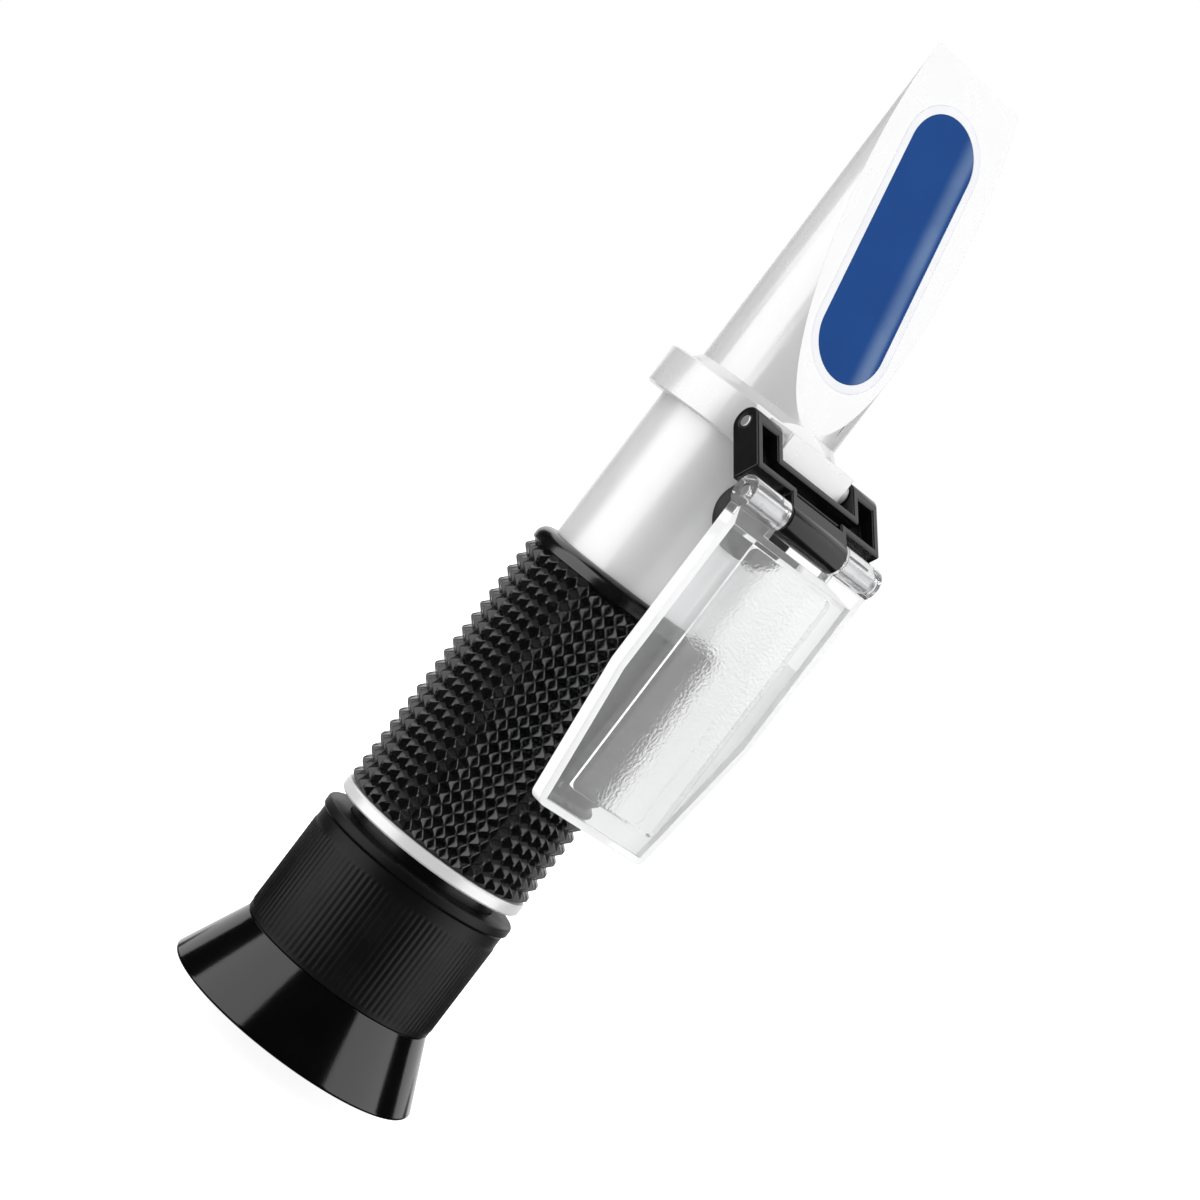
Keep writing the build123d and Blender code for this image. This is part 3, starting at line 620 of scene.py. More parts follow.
def turned_piece(
    name: str,
    outline: Sequence[Corner],
    segments: int,
    relief: Relief | None = None,
    sharp: float = 40.0,
) -> Piece:
    """Turns a closed outline about the optical axis.

    Args:
        name: The piece's name.
        outline: The outline, in order, with the solid on its left as seen along +Y.
        segments: Faces round the axis.
        relief: Lift in millimetres for the angles round the axis.
        sharp: Edges over this angle, in degrees, stay crisp.

    Returns:
        The new mesh object.
    """
    turns = np.arange(segments) * (2 * math.pi / segments)
    rings = []
    for corner in outline:
        radius = np.full(segments, corner.r)
        if relief is not None:
            radius += corner.relief * relief(turns)
        height = np.full(segments, corner.z)
        rings.append(np.stack([radius * np.cos(turns), radius * np.sin(turns), height], axis=1))
    points = np.concatenate(rings) * MM
    faces = []
    count = len(outline)
    step = np.arange(segments)
    after = (step + 1) % segments
    for i in range(count):
        low, high = i * segments, ((i + 1) % count) * segments
        faces.append(np.stack([low + step, low + after, high + after, high + step], axis=1))
    mesh = bpy.data.meshes.new(name)
    mesh.from_pydata(points.tolist(), [], np.concatenate(faces).tolist())
    mesh.validate()
    mesh.shade_smooth()
    mesh.set_sharp_from_angle(angle=math.radians(sharp))
    return linked(name, mesh)


class Dresser:
    """Puts finishes and softened edges on pieces, and reports each one."""

    def __init__(self, nodes: dict[str, Piece]) -> None:
        """Keeps the frame's nodes.

        Args:
            nodes: The frame's objects by node name.
        """
        self.nodes = nodes
        self.materials: dict[str, Material] = {}

    def material(self, finish: AnyFinish) -> Material:
        """Builds a finish's material once.

        Args:
            finish: The finish.

        Returns:
            Its material.
        """
        if finish.name not in self.materials:
            self.materials[finish.name] = finish.build()
        return self.materials[finish.name]

    def dress(self, finish: AnyFinish, *nodes: str) -> None:
        """Gives frame nodes their finish.

        Args:
            finish: The finish.
            nodes: The nodes' names.
        """
        for node in nodes:
            for slot in self.nodes[node].material_slots:
                slot.material = self.material(finish)
            log.info("%s wears %s", node, finish.name)

    def soften(self, width: float, *nodes: str) -> None:
        """Rounds frame nodes' crisp edges with modifiers, and leaves their meshes alone.

        Args:
            width: Width of the rounding, in millimetres.
            nodes: The nodes' names.
        """
        for node in nodes:
            piece = self.nodes[node]
            weld = piece.modifiers.new("joined_faces", "WELD")
            weld.merge_threshold = WELD_GAP * MM
            flat = piece.modifiers.new("whole_flats", "DECIMATE")
            flat.decimate_type = "DISSOLVE"
            flat.angle_limit = math.radians(FLAT_ANGLE)
            self.round_edges(piece, width)

    @staticmethod
    def round_edges(piece: Piece, width: float, angle: float = CRISP_ANGLE, steps: int = 3) -> None:
        """Rounds a piece's crisp edges with a modifier.

        Args:
            piece: The piece.
            width: Width of the rounding, in millimetres.
            angle: Edges over this angle, in degrees, are rounded.
            steps: Faces across each rounding.
        """
        edge = piece.modifiers.new("broken_edges", "BEVEL")
        edge.limit_method = "ANGLE"
        edge.angle_limit = math.radians(angle)
        edge.width = width * MM
        edge.segments = steps
        edge.use_clamp_overlap = True
        edge.harden_normals = True
        log.info("%s has edges of %.2f mm", piece.name, width)

    def stand_in(self, piece: Piece, body: str, node: str, finish: AnyFinish) -> None:
        """Lets a modelled piece take a node's place.

        Args:
            piece: The modelled piece.
            body: The body that carries it.
            node: The node that it stands for, which it hides.
            finish: Its finish.
        """
        piece.data.materials.append(self.material(finish))
        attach(piece, body)
        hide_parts(node)
        log.info("%s stands for %s, with %d faces", piece.name, node, len(piece.data.polygons))


SATIN_ALUMINIUM = Finish(
    "satin_aluminium", (0.83, 0.83, 0.835), metallic=0.3, roughness=0.3, spread=0.02, tone=0.015,
    grain=0.09, depth=0.0016, lay=Lay.TURNED, line_depth=0.0006, black_below=31.19,
)
BLASTED_ALUMINIUM = Finish(
    "blasted_aluminium", (0.79, 0.79, 0.795), metallic=0.3, roughness=0.26, spread=0.02, tone=0.015,
    grain=0.08,
)
GLOSSY_RUBBER = Finish(
    "glossy_rubber", (0.0012, 0.0012, 0.0012), roughness=0.11, spread=0.01, tone=0.2, specular=0.7,
    grain=0.3, depth=0.0012, dust=0.05,
)
STUD_RUBBER = Finish(
    "stud_rubber", (0.0035, 0.0035, 0.0036), roughness=0.2, spread=0.03, tone=0.2, specular=0.95,
    grain=0.14, depth=0.0015, dust=0.08,
)
RIB_PLASTIC = Finish(
    "rib_plastic", (0.0045, 0.0045, 0.0047), roughness=0.42, spread=0.04, tone=0.2, specular=0.28,
    grain=0.14, dust=0.08,
)
CAP_RUBBER = Finish(
    "cap_rubber", (0.008, 0.008, 0.0083), roughness=0.45, tone=0.15, grain=0.16, depth=0.004,
    dust=0.1,
)
SEAL_RUBBER = Finish("seal_rubber", (0.012, 0.012, 0.012), roughness=0.5, depth=0.003)
LINK_PLASTIC = Finish(
    "link_plastic", (0.004, 0.004, 0.0043), roughness=0.22, spread=0.03, tone=0.15, specular=0.45,
    coat=0.12, coat_roughness=0.08, grain=0.25, depth=0.001, edge_colour=(0.03, 0.03, 0.032),
    edge=0.5,
)
PIN_STEEL = Finish(
    "pin_steel", (0.8, 0.8, 0.81), metallic=1.0, roughness=0.28, spread=0.03, tone=0.03, grain=0.3,
    depth=0.0004,
)
BLACK_STEEL = Finish(
    "black_steel", (0.03, 0.03, 0.032), metallic=0.8, roughness=0.35, edge_colour=(0.3, 0.3, 0.3),
    edge=0.6,
)
TURNED_BRASS = Finish(
    "turned_brass", (0.72, 0.52, 0.24), metallic=1.0, roughness=0.28, depth=0.001, lay=Lay.TURNED,
    line_depth=0.003, edge_colour=(0.85, 0.68, 0.38), edge=0.5,
)
BLACK_ANODISED = Finish(
    "black_anodised", (0.018, 0.018, 0.02), metallic=0.35, roughness=0.42, tone=0.12,
    lay=Lay.TURNED, line_depth=0.003, edge_colour=(0.2, 0.2, 0.2), edge=0.35,
)
BIMETAL = Finish(
    "bimetal", (0.62, 0.47, 0.36), metallic=1.0, roughness=0.3, tone=0.12, grain=0.2, depth=0.001,
    lay=Lay.DRAWN, line_depth=0.002,
)
PALE_CEMENT = Finish(
    "pale_cement", (0.82, 0.83, 0.86), roughness=0.5, tone=0.03, specular=0.3, grain=0.18,
    depth=0.006,
)
LENS_GLASS = ClearFinish(
    "lens_glass", (0.97, 0.985, 0.98), 1.0, (0.01, 0.021), ior=1.52, shade=0.97, cloud=9.0, coat=0.3
)
SCALE_GLASS = ClearFinish(
    "scale_glass", (0.96, 0.975, 0.98), 1.0, (0.02, 0.037), ior=1.5, shade=0.97, cloud=9.0, coat=0.1
)
CLEAR_ACRYLIC = ClearFinish("clear_acrylic", (0.85, 0.853, 0.857), 0.9, (0.024, 0.036), depth=0.001)
MILKY_ACRYLIC = ClearFinish("milky_acrylic", (0.965, 0.968, 0.97), 0.2, (0.096, 0.144), 0.5, 0.003)
WINDOW_ACRYLIC = ClearFinish(
    "window_acrylic", (0.945, 0.948, 0.951), 0.86, (0.024, 0.036), depth=0.0005, ior=1.03
)
FROSTED_ACRYLIC = ClearFinish(
    "frosted_acrylic", (0.915, 0.918, 0.922), 0.91, (0.04, 0.06), 0.42, 0.026
)
BLUE_GLASS = PrismFinish()


@dataclass
class StuddedSleeve:
    """The rubber grip: straight rows of small pyramids and a smooth rounded front band.

    The fields are sizes in millimetres, apart from the counts, the squash of the nose's arc and
    the angle in degrees over which edges stay crisp.
    """

    bore_r: float = 12.42
    back_r: float = 13.6
    valley_r: float = 14.1
    peak_r: float = 14.86
    peak_half: float = 0.17
    start_z: float = 33.02
    start_gap: float = 0.03
    end_z: float = 76.4
    first_row_z: float = 33.85
    row_pitch: float = 2.04
    rows: int = 20
    studs_round: int = 44
    arc_steps: int = 4
    nose_r: float = 14.72
    nose_front_r: float = 12.9
    nose_rise: float = 0.55
    nose_squash: float = 0.92
    rise_steps: int = 5
    nose_steps: int = 8
    edge: float = 0.09
    edge_steps: int = 2
    crisp: float = 25.0

    def __post_init__(self) -> None:
        """Starts with no points and no faces."""
        self.points: list[Point] = []
        self.faces: list[list[int]] = []

    def ring(self, radius: float, height: float, count: int) -> list[int]:
        """Adds one ring of points that starts half a stud before the first one.

        Args:
            radius: The ring's radius, in millimetres.
            height: Its height along the axis, in millimetres.
            count: Its points.

        Returns:
            The numbers of its points, with the first one again at the end.
        """
        first = len(self.points)
        start = -math.pi / self.studs_round
        for i in range(count):
            turn = start + 2 * math.pi * i / count
            self.points.append((radius * math.cos(turn), radius * math.sin(turn), height))
        return list(range(first, first + count)) + [first]

    def stud(self, corners_of: Sequence[int], column: int, height: float) -> None:
        """Adds one pyramid with a small flat top.

        Args:
            corners_of: Its four valley points, in order round it.
            column: Its place round the axis.
            height: Height of its middle, in millimetres.
        """
        first = len(self.points)
        middle = 2 * math.pi * column / self.studs_round
        swing = self.peak_half / self.peak_r
        for side, lift in ((-1, -1), (1, -1), (1, 1), (-1, 1)):
            turn = middle + side * swing
            x, y = self.peak_r * math.cos(turn), self.peak_r * math.sin(turn)
            self.points.append((x, y, height + lift * self.peak_half))
        for i in range(4):
            after = (i + 1) % 4
            self.faces.append([corners_of[i], corners_of[after], first + after, first + i])
        self.faces.append([first, first + 1, first + 2, first + 3])

    def smooth_part(self) -> list[Corner]:
        """Draws all but the studs.

        Returns:
            The outline, from the last valley over the nose and the bore to the first valley.
        """
        studs_end = self.first_row_z + (self.rows - 0.5) * self.row_pitch
        outline = []
        for i in range(1, self.rise_steps + 1):
            share = i / self.rise_steps
            lift = share * share * (3 - 2 * share)
            reach = self.valley_r + (self.nose_r - self.valley_r) * lift
            outline.append(Corner(reach, studs_end + self.nose_rise * share))
        drop = self.nose_r - self.nose_front_r
        for i in range(self.nose_steps + 1):
            turn = math.radians(90 * i / self.nose_steps)
            height = self.end_z - drop * (1 - math.sin(turn)) * self.nose_squash
            outline.append(Corner(self.nose_front_r + drop * math.cos(turn), height))
        outline += [Corner(self.bore_r, self.end_z), Corner(self.bore_r, self.start_z)]
        return outline + [Corner(self.back_r, self.start_z)]

    def build(self, dresser: Dresser) -> None:
        """Builds the sleeve and dresses it.

        Args:
            dresser: The dresser.
        """
        valleys = []
        for row in range(self.rows + 1):
            height = self.first_row_z + (row - 0.5) * self.row_pitch
            height = max(height, self.start_z + self.start_gap)
            valleys.append(self.ring(self.valley_r, height, self.studs_round))
        for row in range(self.rows):
            low, high = valleys[row], valleys[row + 1]
            for column in range(self.studs_round):
                corners_of = (low[column], low[column + 1], high[column + 1], high[column])
                self.stud(corners_of, column, self.first_row_z + row * self.row_pitch)
        steps = self.arc_steps
        count = self.studs_round * steps
        rings = [self.ring(corner.r, corner.z, count) for corner in self.smooth_part()]
        for low, high in zip(rings, rings[1:]):
            self.faces += [[low[i], low[i + 1], high[i + 1], high[i]] for i in range(count)]
        for column in range(self.studs_round):
            here, there = column * steps, (column + 1) * steps
            front, back = rings[0][here : there + 1], rings[-1][here : there + 1]
            self.faces.append([valleys[-1][column], valleys[-1][column + 1], *reversed(front)])
            self.faces.append([*back, valleys[0][column + 1], valleys[0][column]])
        mesh = bpy.data.meshes.new("studded_sleeve")
        mesh.from_pydata([[c * MM for c in point] for point in self.points], [], self.faces)
        mesh.validate()
        mesh.shade_smooth()
        mesh.set_sharp_from_angle(angle=math.radians(self.crisp))
        first = (self.rows + 1) * self.studs_round
        last = first + 4 * self.rows * self.studs_round
        weights = mesh.attributes.new("bevel_weight_edge", "FLOAT", "EDGE")
        for edge in mesh.edges:
            ridge = any(first <= vertex < last for vertex in edge.vertices)
            weights.data[edge.index].value = 1.0 if ridge else 0.0
        piece = linked("studded_sleeve", mesh)
        dresser.round_edges(piece, self.edge, self.crisp, self.edge_steps)
        piece.modifiers["broken_edges"].limit_method = "WEIGHT"
        dresser.stand_in(piece, "barrel", "grip_sleeve", STUD_RUBBER)


@dataclass
class FocusUnit:
    """The ribbed focus ring with its snap ring, and the flared rubber eyecup on its nose.

    The fields are sizes in millimetres, apart from the counts.
    """

    ribs: int = 104
    rib_steps: int = 8
    rib_height: float = 0.09
    body_r: float = 15.14
    band_r: float = 15.11
    lip_r: float = 15.5
    start_z: float = 10.5
    ribs_start: float = 11.3
    ribs_end: float = 25.7
    rib_run: float = 0.3
    band_start: float = 26.05
    band_end: float = 27.7
    lip_start: float = 28.05
    end_z: float = 29.4
    bore_r: float = 11.95
    nose_r: float = 13.0
    nose_bore_r: float = 9.0
    cell_r: float = 11.5
    cell_end: float = 7.9
    clip_r: float = 12.345
    clip_start: float = 10.15
    clip_end: float = 11.2
    cup_rim_r: float = 20.0
    cup_rim_width: float = 1.3
    cup_neck_r: float = 15.05
    cup_neck_z: float = 10.48
    cup_floor_r: float = 16.06
    cup_floor_z: float = 5.6
    cup_seat_r: float = 13.02

    def relief(self, turns: np.ndarray) -> np.ndarray:
        """Works out the lift of the ribs.

        Args:
            turns: Angles round the axis.

        Returns:
            The lift in millimetres at each angle.
        """
        wave = 0.5 + 0.5 * np.cos(turns * self.ribs)
        return self.rib_height * wave**0.75

    def ring(self) -> Piece:
        """Builds the ribbed ring, with the cavities that hold the eyepiece cell.

        Returns:
            The ring.
        """
        outline = [
            Corner(self.nose_bore_r, self.cup_floor_z, 0.15),
            Corner(self.nose_r, self.cup_floor_z, 0.1),
            Corner(self.nose_r, self.start_z),
            Corner(self.body_r, self.start_z, 0.12),
            Corner(self.body_r, self.ribs_start),
            Corner(self.body_r, self.ribs_start + self.rib_run, relief=1.0),
            Corner(self.body_r, self.ribs_end - self.rib_run, relief=1.0),
            Corner(self.body_r, self.ribs_end),
            Corner(self.band_r, self.band_start, 0.1),
            Corner(self.band_r, self.band_end, 0.15),
            Corner(self.lip_r, self.lip_start, 0.35),
            Corner(self.lip_r, self.end_z, 0.45),
            Corner(self.bore_r, self.end_z, 0.2),
            Corner(self.bore_r, self.clip_end),
            Corner(self.clip_r, self.clip_end),
            Corner(self.clip_r, self.clip_start),
            Corner(self.cell_r, self.clip_start),
            Corner(self.cell_r, self.cell_end),
            Corner(self.nose_bore_r, self.cell_end, 0.15),
        ]
        outline = finished_outline(outline)
        count = self.ribs * self.rib_steps
        return turned_piece("ribbed_focus_ring", outline, count, self.relief, 60.0)

    def cup(self) -> Piece:
        """Builds the flared cup with its rounded rim.

        Returns:
            The cup.
        """
        inner = self.cup_rim_r - self.cup_rim_width
        outline = [
            Corner(inner, 0.0, 0.45),
            Corner(self.cup_rim_r, 0.0, 0.62),
            Corner(self.cup_neck_r, self.cup_neck_z, 0.3),
            Corner(self.cup_seat_r, self.cup_neck_z),
            Corner(self.cup_seat_r, self.cup_floor_z),
            Corner(self.cup_floor_r, self.cup_floor_z, 1.0),
        ]
        return turned_piece("flared_eyecup", finished_outline(outline, 8), 256, sharp=50.0)

    def build(self, dresser: Dresser) -> None:
        """Builds both pieces and dresses them.

        Args:
            dresser: The dresser.
        """
        dresser.stand_in(self.ring(), "focus", "focus_ring", RIB_PLASTIC)
        dresser.stand_in(self.cup(), "focus", "eyecup", GLOSSY_RUBBER)
        dresser.dress(BLACK_STEEL, "cell_clip")


@dataclass
class Barrel:
    """The main tube, collar and prism head, with what sits in them.

    The fields are widths of the broken edges, in millimetres.
    """

    head_edge: float = 0.12
    collar_edge: float = 0.22

    def build(self, dresser: Dresser) -> None:
        """Dresses the barrel's nodes.

        Args:
            dresser: The dresser.
        """
        dresser.dress(SATIN_ALUMINIUM, "body_tube")
        dresser.dress(BLASTED_ALUMINIUM, "hinge_collar", "prism_head")
        dresser.dress(BLUE_GLASS, "measuring_prism")
        dresser.dress(PALE_CEMENT, "prism_seal")
        dresser.dress(SEAL_RUBBER, "head_o_ring", "focus_o_ring")
        dresser.dress(BLACK_ANODISED, "aperture_stop", "light_baffle", "reticle_holder")
        dresser.dress(BLACK_ANODISED, "reticle_retaining_ring")
        dresser.dress(BLACK_STEEL, "reticle_set_screws", "collar_set_screws", "guide_pin")
        dresser.dress(SCALE_GLASS, "reticle")
        dresser.soften(self.collar_edge, "hinge_collar")
        dresser.soften(self.head_edge, "prism_head", "measuring_prism")
        StuddedSleeve().build(dresser)


class CalibrationUnit:
    """The objective carriage with its bush, screw, spring and rubber cap."""

    def build(self, dresser: Dresser) -> None:
        """Dresses the unit's nodes.

        Args:
            dresser: The dresser.
        """
        dresser.dress(TURNED_BRASS, "carriage_guide", "carriage_frame")
        dresser.dress(TURNED_BRASS, "calibration_bush", "calibration_screw")
        dresser.dress(PIN_STEEL, "carriage_spring")
        dresser.dress(BIMETAL, "bimetal_strip")
        dresser.dress(BLACK_ANODISED, "objective_cell", "objective_retaining_ring")
        dresser.dress(LENS_GLASS, "objective_lens")
        dresser.dress(CAP_RUBBER, "calibration_cap")


class Surface(Enum):
    """The plate's surfaces, each by its material's place on the plate."""

    CLEAR = 0
    MILKY = 1
    FROSTED = 2
    WINDOW = 3


@dataclass
class DaylightPlate:
    """The clear plate, with a milky rim, a frosted pad and clear windows between them.

    The fields are sizes in millimetres, with the plate hanging open as it is drawn.
    """

    pivot_x: float = 25.0233
    pivot_z: float = 95.9674
    rim_top: float = 1.4
    pad_top: float = 2.4
    pad_start: float = 4.8
    pad_length: float = 38.7
    pad_width: float = 16.0
    pad_margin: float = 2.45
    knuckle_reach: float = 3.4
    wall_rise: float = 0.3
    slack: float = 0.1
    edge: float = 0.22

    def surface(self, face: Face) -> Surface:
        """Tells which surface a face belongs to.

        Args:
            face: A face of the plate.

        Returns:
            The surface.
        """
        middle = face.calc_center_median() / MM
        out, down = middle.x - self.pivot_x, self.pivot_z - middle.z
        if down < self.knuckle_reach:
            return Surface.CLEAR
        if face.normal.x > FACING:
            if out > self.pad_top - self.slack:
                return Surface.FROSTED
            return Surface.MILKY if out > self.rim_top - self.slack else Surface.WINDOW
        if face.normal.x < -FACING:
            inside = abs(middle.y) < self.pad_width / 2 - self.pad_margin
            end = self.pad_start + self.pad_length
            return Surface.CLEAR if inside and self.pad_start < down < end else Surface.WINDOW
        highest = max(vert.co.x for vert in face.verts) / MM - self.pivot_x
        beside = abs(middle.y) < self.pad_width / 2 + self.slack
        wall = highest > self.rim_top + self.wall_rise and beside
        return Surface.WINDOW if wall else Surface.MILKY

    def divide(self, shape: Shape) -> None:
        """Cuts the sides at the knuckles, and the flat back round what lies behind the pad.

        Args:
            shape: The plate's mesh.
        """
        sides = [face for face in shape.faces if abs(face.normal.y) > FACING]
        self.cut(shape, sides, (0, 0, (self.pivot_z - self.knuckle_reach) * MM), (0, 0, 1))
        side = (self.pad_width / 2 - self.pad_margin) * MM
        low = (self.pivot_z - self.pad_start - self.pad_length) * MM
        high = (self.pivot_z - self.pad_start) * MM
        cuts = [((0, side, 0), (0, 1, 0)), ((0, -side, 0), (0, 1, 0))]
        cuts += [((0, 0, low), (0, 0, 1)), ((0, 0, high), (0, 0, 1))]
        for place, normal in cuts:
            back = [face for face in shape.faces if face.normal.x < -FACING]
            self.cut(shape, back, place, normal)

    @staticmethod
    def cut(shape: Shape, faces: list[Face], place: Point, normal: Point) -> None:
        """Cuts faces along a plane.

        Args:
            shape: The plate's mesh.
            faces: The faces.
            place: A point of the plane, in metres.
            normal: The plane's normal.
        """
        edges = list({edge for face in faces for edge in face.edges})
        verts = list({vert for face in faces for vert in face.verts})
        geometry = verts + edges + faces
        bmesh.ops.bisect_plane(shape, geom=geometry, plane_co=place, plane_no=normal, dist=1e-8)

    def build(self, dresser: Dresser) -> None:
        """Builds the plate and dresses it.

        Args:
            dresser: The dresser.
        """
        shape = bmesh.new()
        shape.from_mesh(dresser.nodes["daylight_plate"].data)
        bmesh.ops.remove_doubles(shape, verts=shape.verts, dist=WELD_GAP * MM)
        flat = math.radians(FLAT_ANGLE)
        bmesh.ops.dissolve_limit(shape, angle_limit=flat, verts=shape.verts, edges=shape.edges)
        shape.normal_update()
        self.divide(shape)
        shape.normal_update()
        for face in shape.faces:
            face.material_index = self.surface(face).value
            face.smooth = True
        mesh = bpy.data.meshes.new("clear_daylight_plate")
        shape.to_mesh(mesh)
        shape.free()
        mesh.set_sharp_from_angle(angle=math.radians(CRISP_ANGLE))
        plate = linked("clear_daylight_plate", mesh)
        dresser.round_edges(plate, self.edge)
        dresser.stand_in(plate, "cover", "daylight_plate", CLEAR_ACRYLIC)
        for finish in (MILKY_ACRYLIC, FROSTED_ACRYLIC, WINDOW_ACRYLIC):
            mesh.materials.append(dresser.material(finish))


@dataclass
class FrontHinge:
    """The black link, its two steel pins and the clear daylight plate.

    The fields are widths of the broken edges, in millimetres.
    """

    link_edge: float = 0.28
    pin_edge: float = 0.2

    def build(self, dresser: Dresser) -> None:
        """Dresses the hinge's nodes.

        Args:
            dresser: The dresser.
        """
        dresser.dress(LINK_PLASTIC, "hinge_link")
        dresser.dress(PIN_STEEL, "lug_pin", "cover_pin")
        dresser.soften(self.link_edge, "hinge_link")
        dresser.soften(self.pin_edge, "lug_pin", "cover_pin")
        DaylightPlate().build(dresser)


class Eyepiece:
    """The eyepiece cell and its lens stack."""

    def build(self, dresser: Dresser) -> None:
        """Dresses the eyepiece's nodes.

        Args:
            dresser: The dresser.
        """
        dresser.dress(BLACK_ANODISED, "eyepiece_cell", "lens_spacer", "lens_retaining_ring")
        dresser.dress(LENS_GLASS, "eye_lens", "field_lens")


@dataclass(frozen=True)
class Panel:
    """One soft panel of light, upright and facing the axis.

    Args:
        name: Its name.
        turn: Its angle from the camera's side, in degrees.
        width: Its width, in metres.
        distance: Its distance from the axis, in metres.
        low: Height of its lower edge, in metres.
        high: Height of its upper edge, in metres.
        radiance: Its brightness.
    """

    name: str
    turn: float
    width: float
    distance: float = 0.62
    low: float = -0.25
    high: float = 0.95
    radiance: float = 1.5


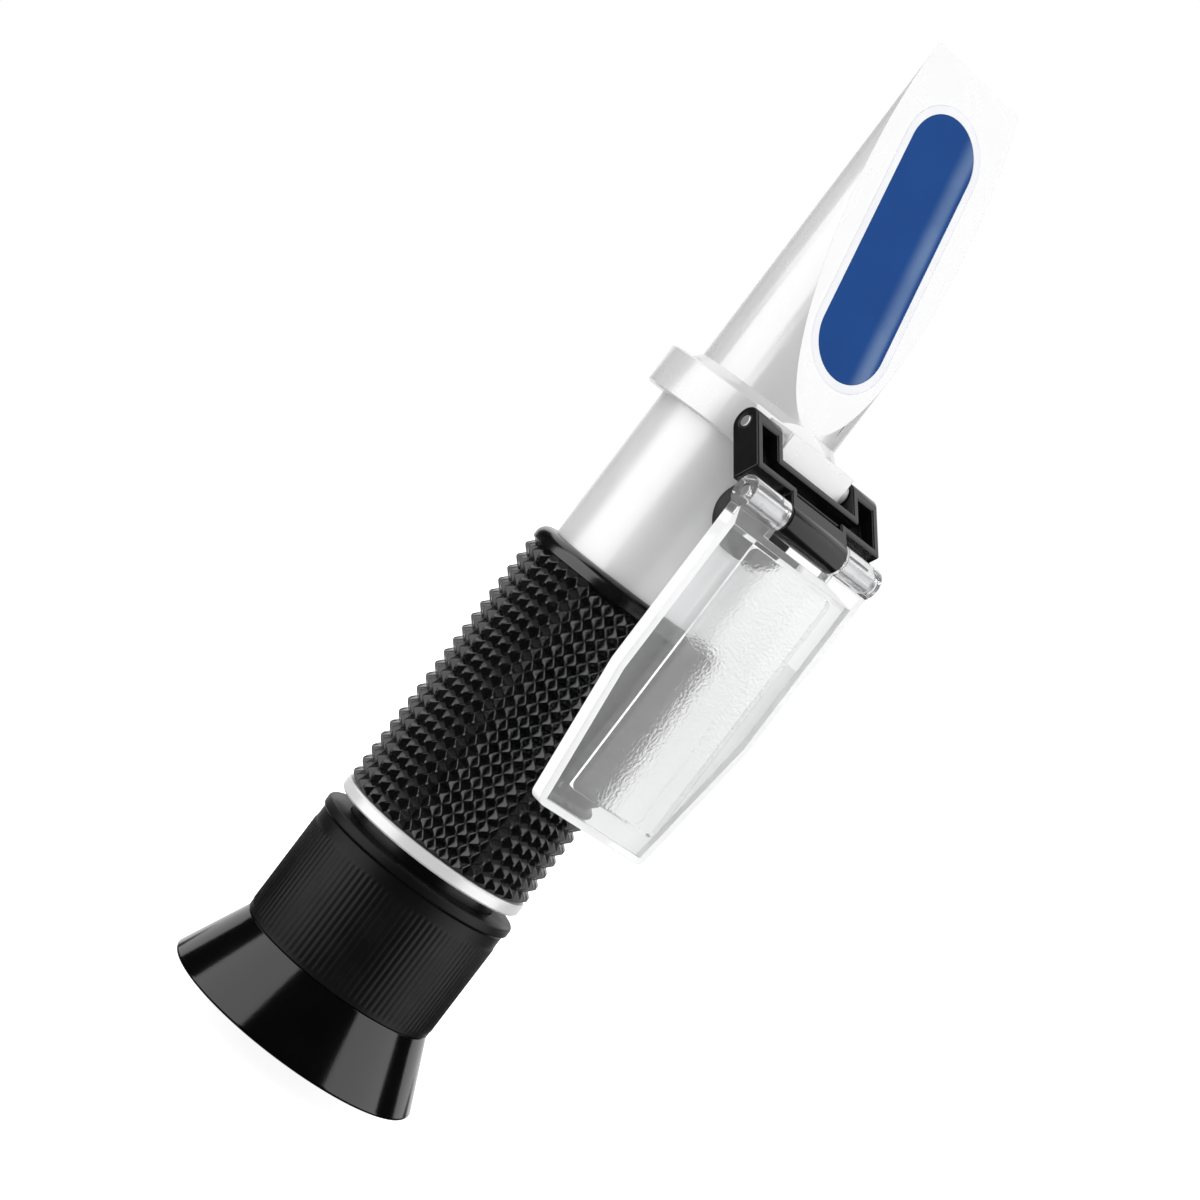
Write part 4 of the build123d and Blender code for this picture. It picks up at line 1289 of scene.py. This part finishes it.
@dataclass
class Studio:
    """A pale floor, two tall soft panels, two low cards, a soft world and the camera.

    Angles are degrees. Lengths are metres, but the lens and the floor's drop and depth are
    millimetres. The lift widens the bright part of the world between heights, given as sines.
    """

    camera_at: Point = (0.33210, -0.23516, 0.092515)
    camera_axes: tuple[Point, Point, Point] = (
        (0.4323, 0.6692, 0.6044),
        (-0.3793, -0.4731, 0.7952),
        (0.8181, -0.5730, 0.0493),
    )
    lens: float = 89.93
    side: float = -35.3
    panels: tuple[Panel, ...] = (
        Panel("panel_left", -67.0, 0.73),
        Panel("panel_right", 76.7, 0.651),
        Panel("card_left", -139.0, 0.114, 0.25, 0.0, 0.06, 0.85),
        Panel("card_right", 139.0, 0.114, 0.25, 0.0, 0.06, 0.85),
    )
    ambient: float = 0.74
    dark: float = 0.014
    lift: float = 0.66
    lift_from: Span = (0.42, 0.6)
    lift_to: Span = (0.95, 0.88)
    backdrop: Span = (150.0, 162.0)
    behind: float = 0.2
    glow: float = 0.87
    glow_reach: Span = (0.06, 0.16)
    floor_radius: float = 3.0
    floor_drop: float = 4.9
    floor_depth: float = 0.4

    def camera(self) -> None:
        """Places the camera."""
        data = bpy.data.cameras.new("main_camera")
        data.lens = self.lens
        data.sensor_width = 36.0
        data.clip_start = 0.01
        data.clip_end = 20.0
        camera = linked("main_camera", data)
        axes = [Vector(axis).normalized() for axis in self.camera_axes]
        turn = Matrix(axes).transposed().to_4x4()
        camera.matrix_world = Matrix.Translation(self.camera_at) @ turn
        bpy.context.scene.camera = camera

    def place(self, panel: Panel) -> None:
        """Places one soft panel that faces the object.

        Args:
            panel: The panel.
        """
        data = bpy.data.lights.new(panel.name, "AREA")
        data.shape = "RECTANGLE"
        height = panel.high - panel.low
        data.size = panel.width
        data.size_y = height
        data.energy = panel.radiance * math.pi * panel.width * height
        light = linked(panel.name, data)
        angle = math.radians(self.side + panel.turn)
        outward = Vector((math.cos(angle), math.sin(angle), 0.0))
        spot = outward * panel.distance + Vector((0, 0, (panel.high + panel.low) / 2))
        facing = outward.to_track_quat("Z", "Y")
        light.matrix_world = Matrix.LocRotScale(spot, facing, None)
        light.visible_camera = False

    def world(self) -> None:
        """Sets the world: white to the eye and behind the object, a dim room before it."""
        world = bpy.data.worlds.new("studio_world")
        bpy.context.scene.world = world
        world.use_nodes = True
        board = NodeBoard(world.node_tree)
        background = world.node_tree.nodes["Background"]
        path = board.add("LightPath").outputs
        way = board.add("TexCoord").outputs["Generated"]
        x, y, z = board.parts(way)
        angle = math.radians(self.side)
        along = board.math("MULTIPLY", x, math.cos(angle))
        toward = board.math("MULTIPLY_ADD", y, math.sin(angle), along)
        flat = board.math("SQRT", board.math("SUBTRACT", 1.0, board.math("POWER", z, 2.0)))
        cosine = board.math("DIVIDE", toward, board.math("MAXIMUM", flat, 0.01))
        rise, fall = board.ramp(z, *self.lift_from, 0.0, self.lift), board.ramp(z, *self.lift_to)
        level = board.math("SUBTRACT", cosine, board.math("MULTIPLY", rise, fall))
        start, end = (math.cos(math.radians(degrees)) for degrees in self.backdrop)
        seen = board.ramp(board.ramp(level, start, end), 0, 1, self.dark, 1.0)
        direct = board.math("SUBTRACT", 1.0, board.math("MINIMUM", path["Glossy Depth"], 1.0))
        through = board.math("MULTIPLY", path["Is Transmission Ray"], direct)
        plain = board.math("MAXIMUM", path["Is Camera Ray"], through)
        room = board.mix(path["Is Glossy Ray"], self.ambient, seen)
        strength = board.mix(plain, room, 1.0)
        board.feed(background, {"Strength": strength, "Color": (1, 1, 1, 1)})

    def floor(self) -> None:
        """Lays the pale floor, white to the eye but for a faint shadow under the object."""
        material, board, shader = new_material("pale_floor")
        board.tree.nodes.remove(shader)
        out = board.tree.nodes["Material Output"]
        place = board.place()
        reach = board.add("VectorMath", {0: place}, operation="LENGTH").outputs["Value"]
        path = board.add("LightPath").outputs
        glow = board.ramp(reach, *self.glow_reach, self.glow, 1.0)
        seen = board.math("MULTIPLY", path["Is Camera Ray"], glow)
        beyond = board.math("MULTIPLY", path["Is Transmission Ray"], self.behind)
        noise = board.add("TexNoise", {"Vector": place, "Scale": 60.0, "Detail": 3.0})
        paper = board.ramp(noise.outputs["Fac"], 0.3, 0.7, 0.78, 0.8)
        tint = board.add("CombineColor", {0: paper, 1: paper, 2: paper}).outputs[0]
        matte = board.add("BsdfDiffuse", {"Color": tint}).outputs[0]
        strength = board.math("MAXIMUM", seen, beyond)
        light = board.add("Emission", {"Strength": strength}).outputs[0]
        both = board.add("AddShader", {0: matte, 1: light}).outputs[0]
        board.tree.links.new(both, out.inputs["Surface"])
        low, high = -self.floor_drop - self.floor_depth, -self.floor_drop
        wide = self.floor_radius / MM
        rim = [Corner(0.02, low), Corner(wide, low), Corner(wide, high), Corner(0.02, high)]
        floor = turned_piece("pale_floor", rim, 96)
        floor.data.materials.append(material)
        floor.visible_glossy = False

    def build(self) -> None:
        """Sets up the whole studio."""
        self.camera()
        for panel in self.panels:
            self.place(panel)
        self.world()
        self.floor()
        bpy.context.scene.view_settings.view_transform = "Standard"
        log.info("studio is set, with %.1f mm of lens", self.lens)


def corners(box: Sequence[Vector]) -> list[list[float]]:
    """Turns a box into plain lists.

    Args:
        box: The box's two corners.

    Returns:
        The corners as lists of numbers.
    """
    return [[float(value) for value in corner] for corner in box]


def main() -> None:
    """Loads the frame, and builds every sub-assembly and the studio."""
    logging.basicConfig(level=logging.INFO, format="%(name)s: %(message)s")
    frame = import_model()
    EffectGroups()
    dresser = Dresser(frame["nodes"])
    Studio().build()
    for unit in (Barrel(), CalibrationUnit(), FrontHinge(), Eyepiece(), FocusUnit()):
        unit.build(dresser)


if __name__ == "__main__":
    main()
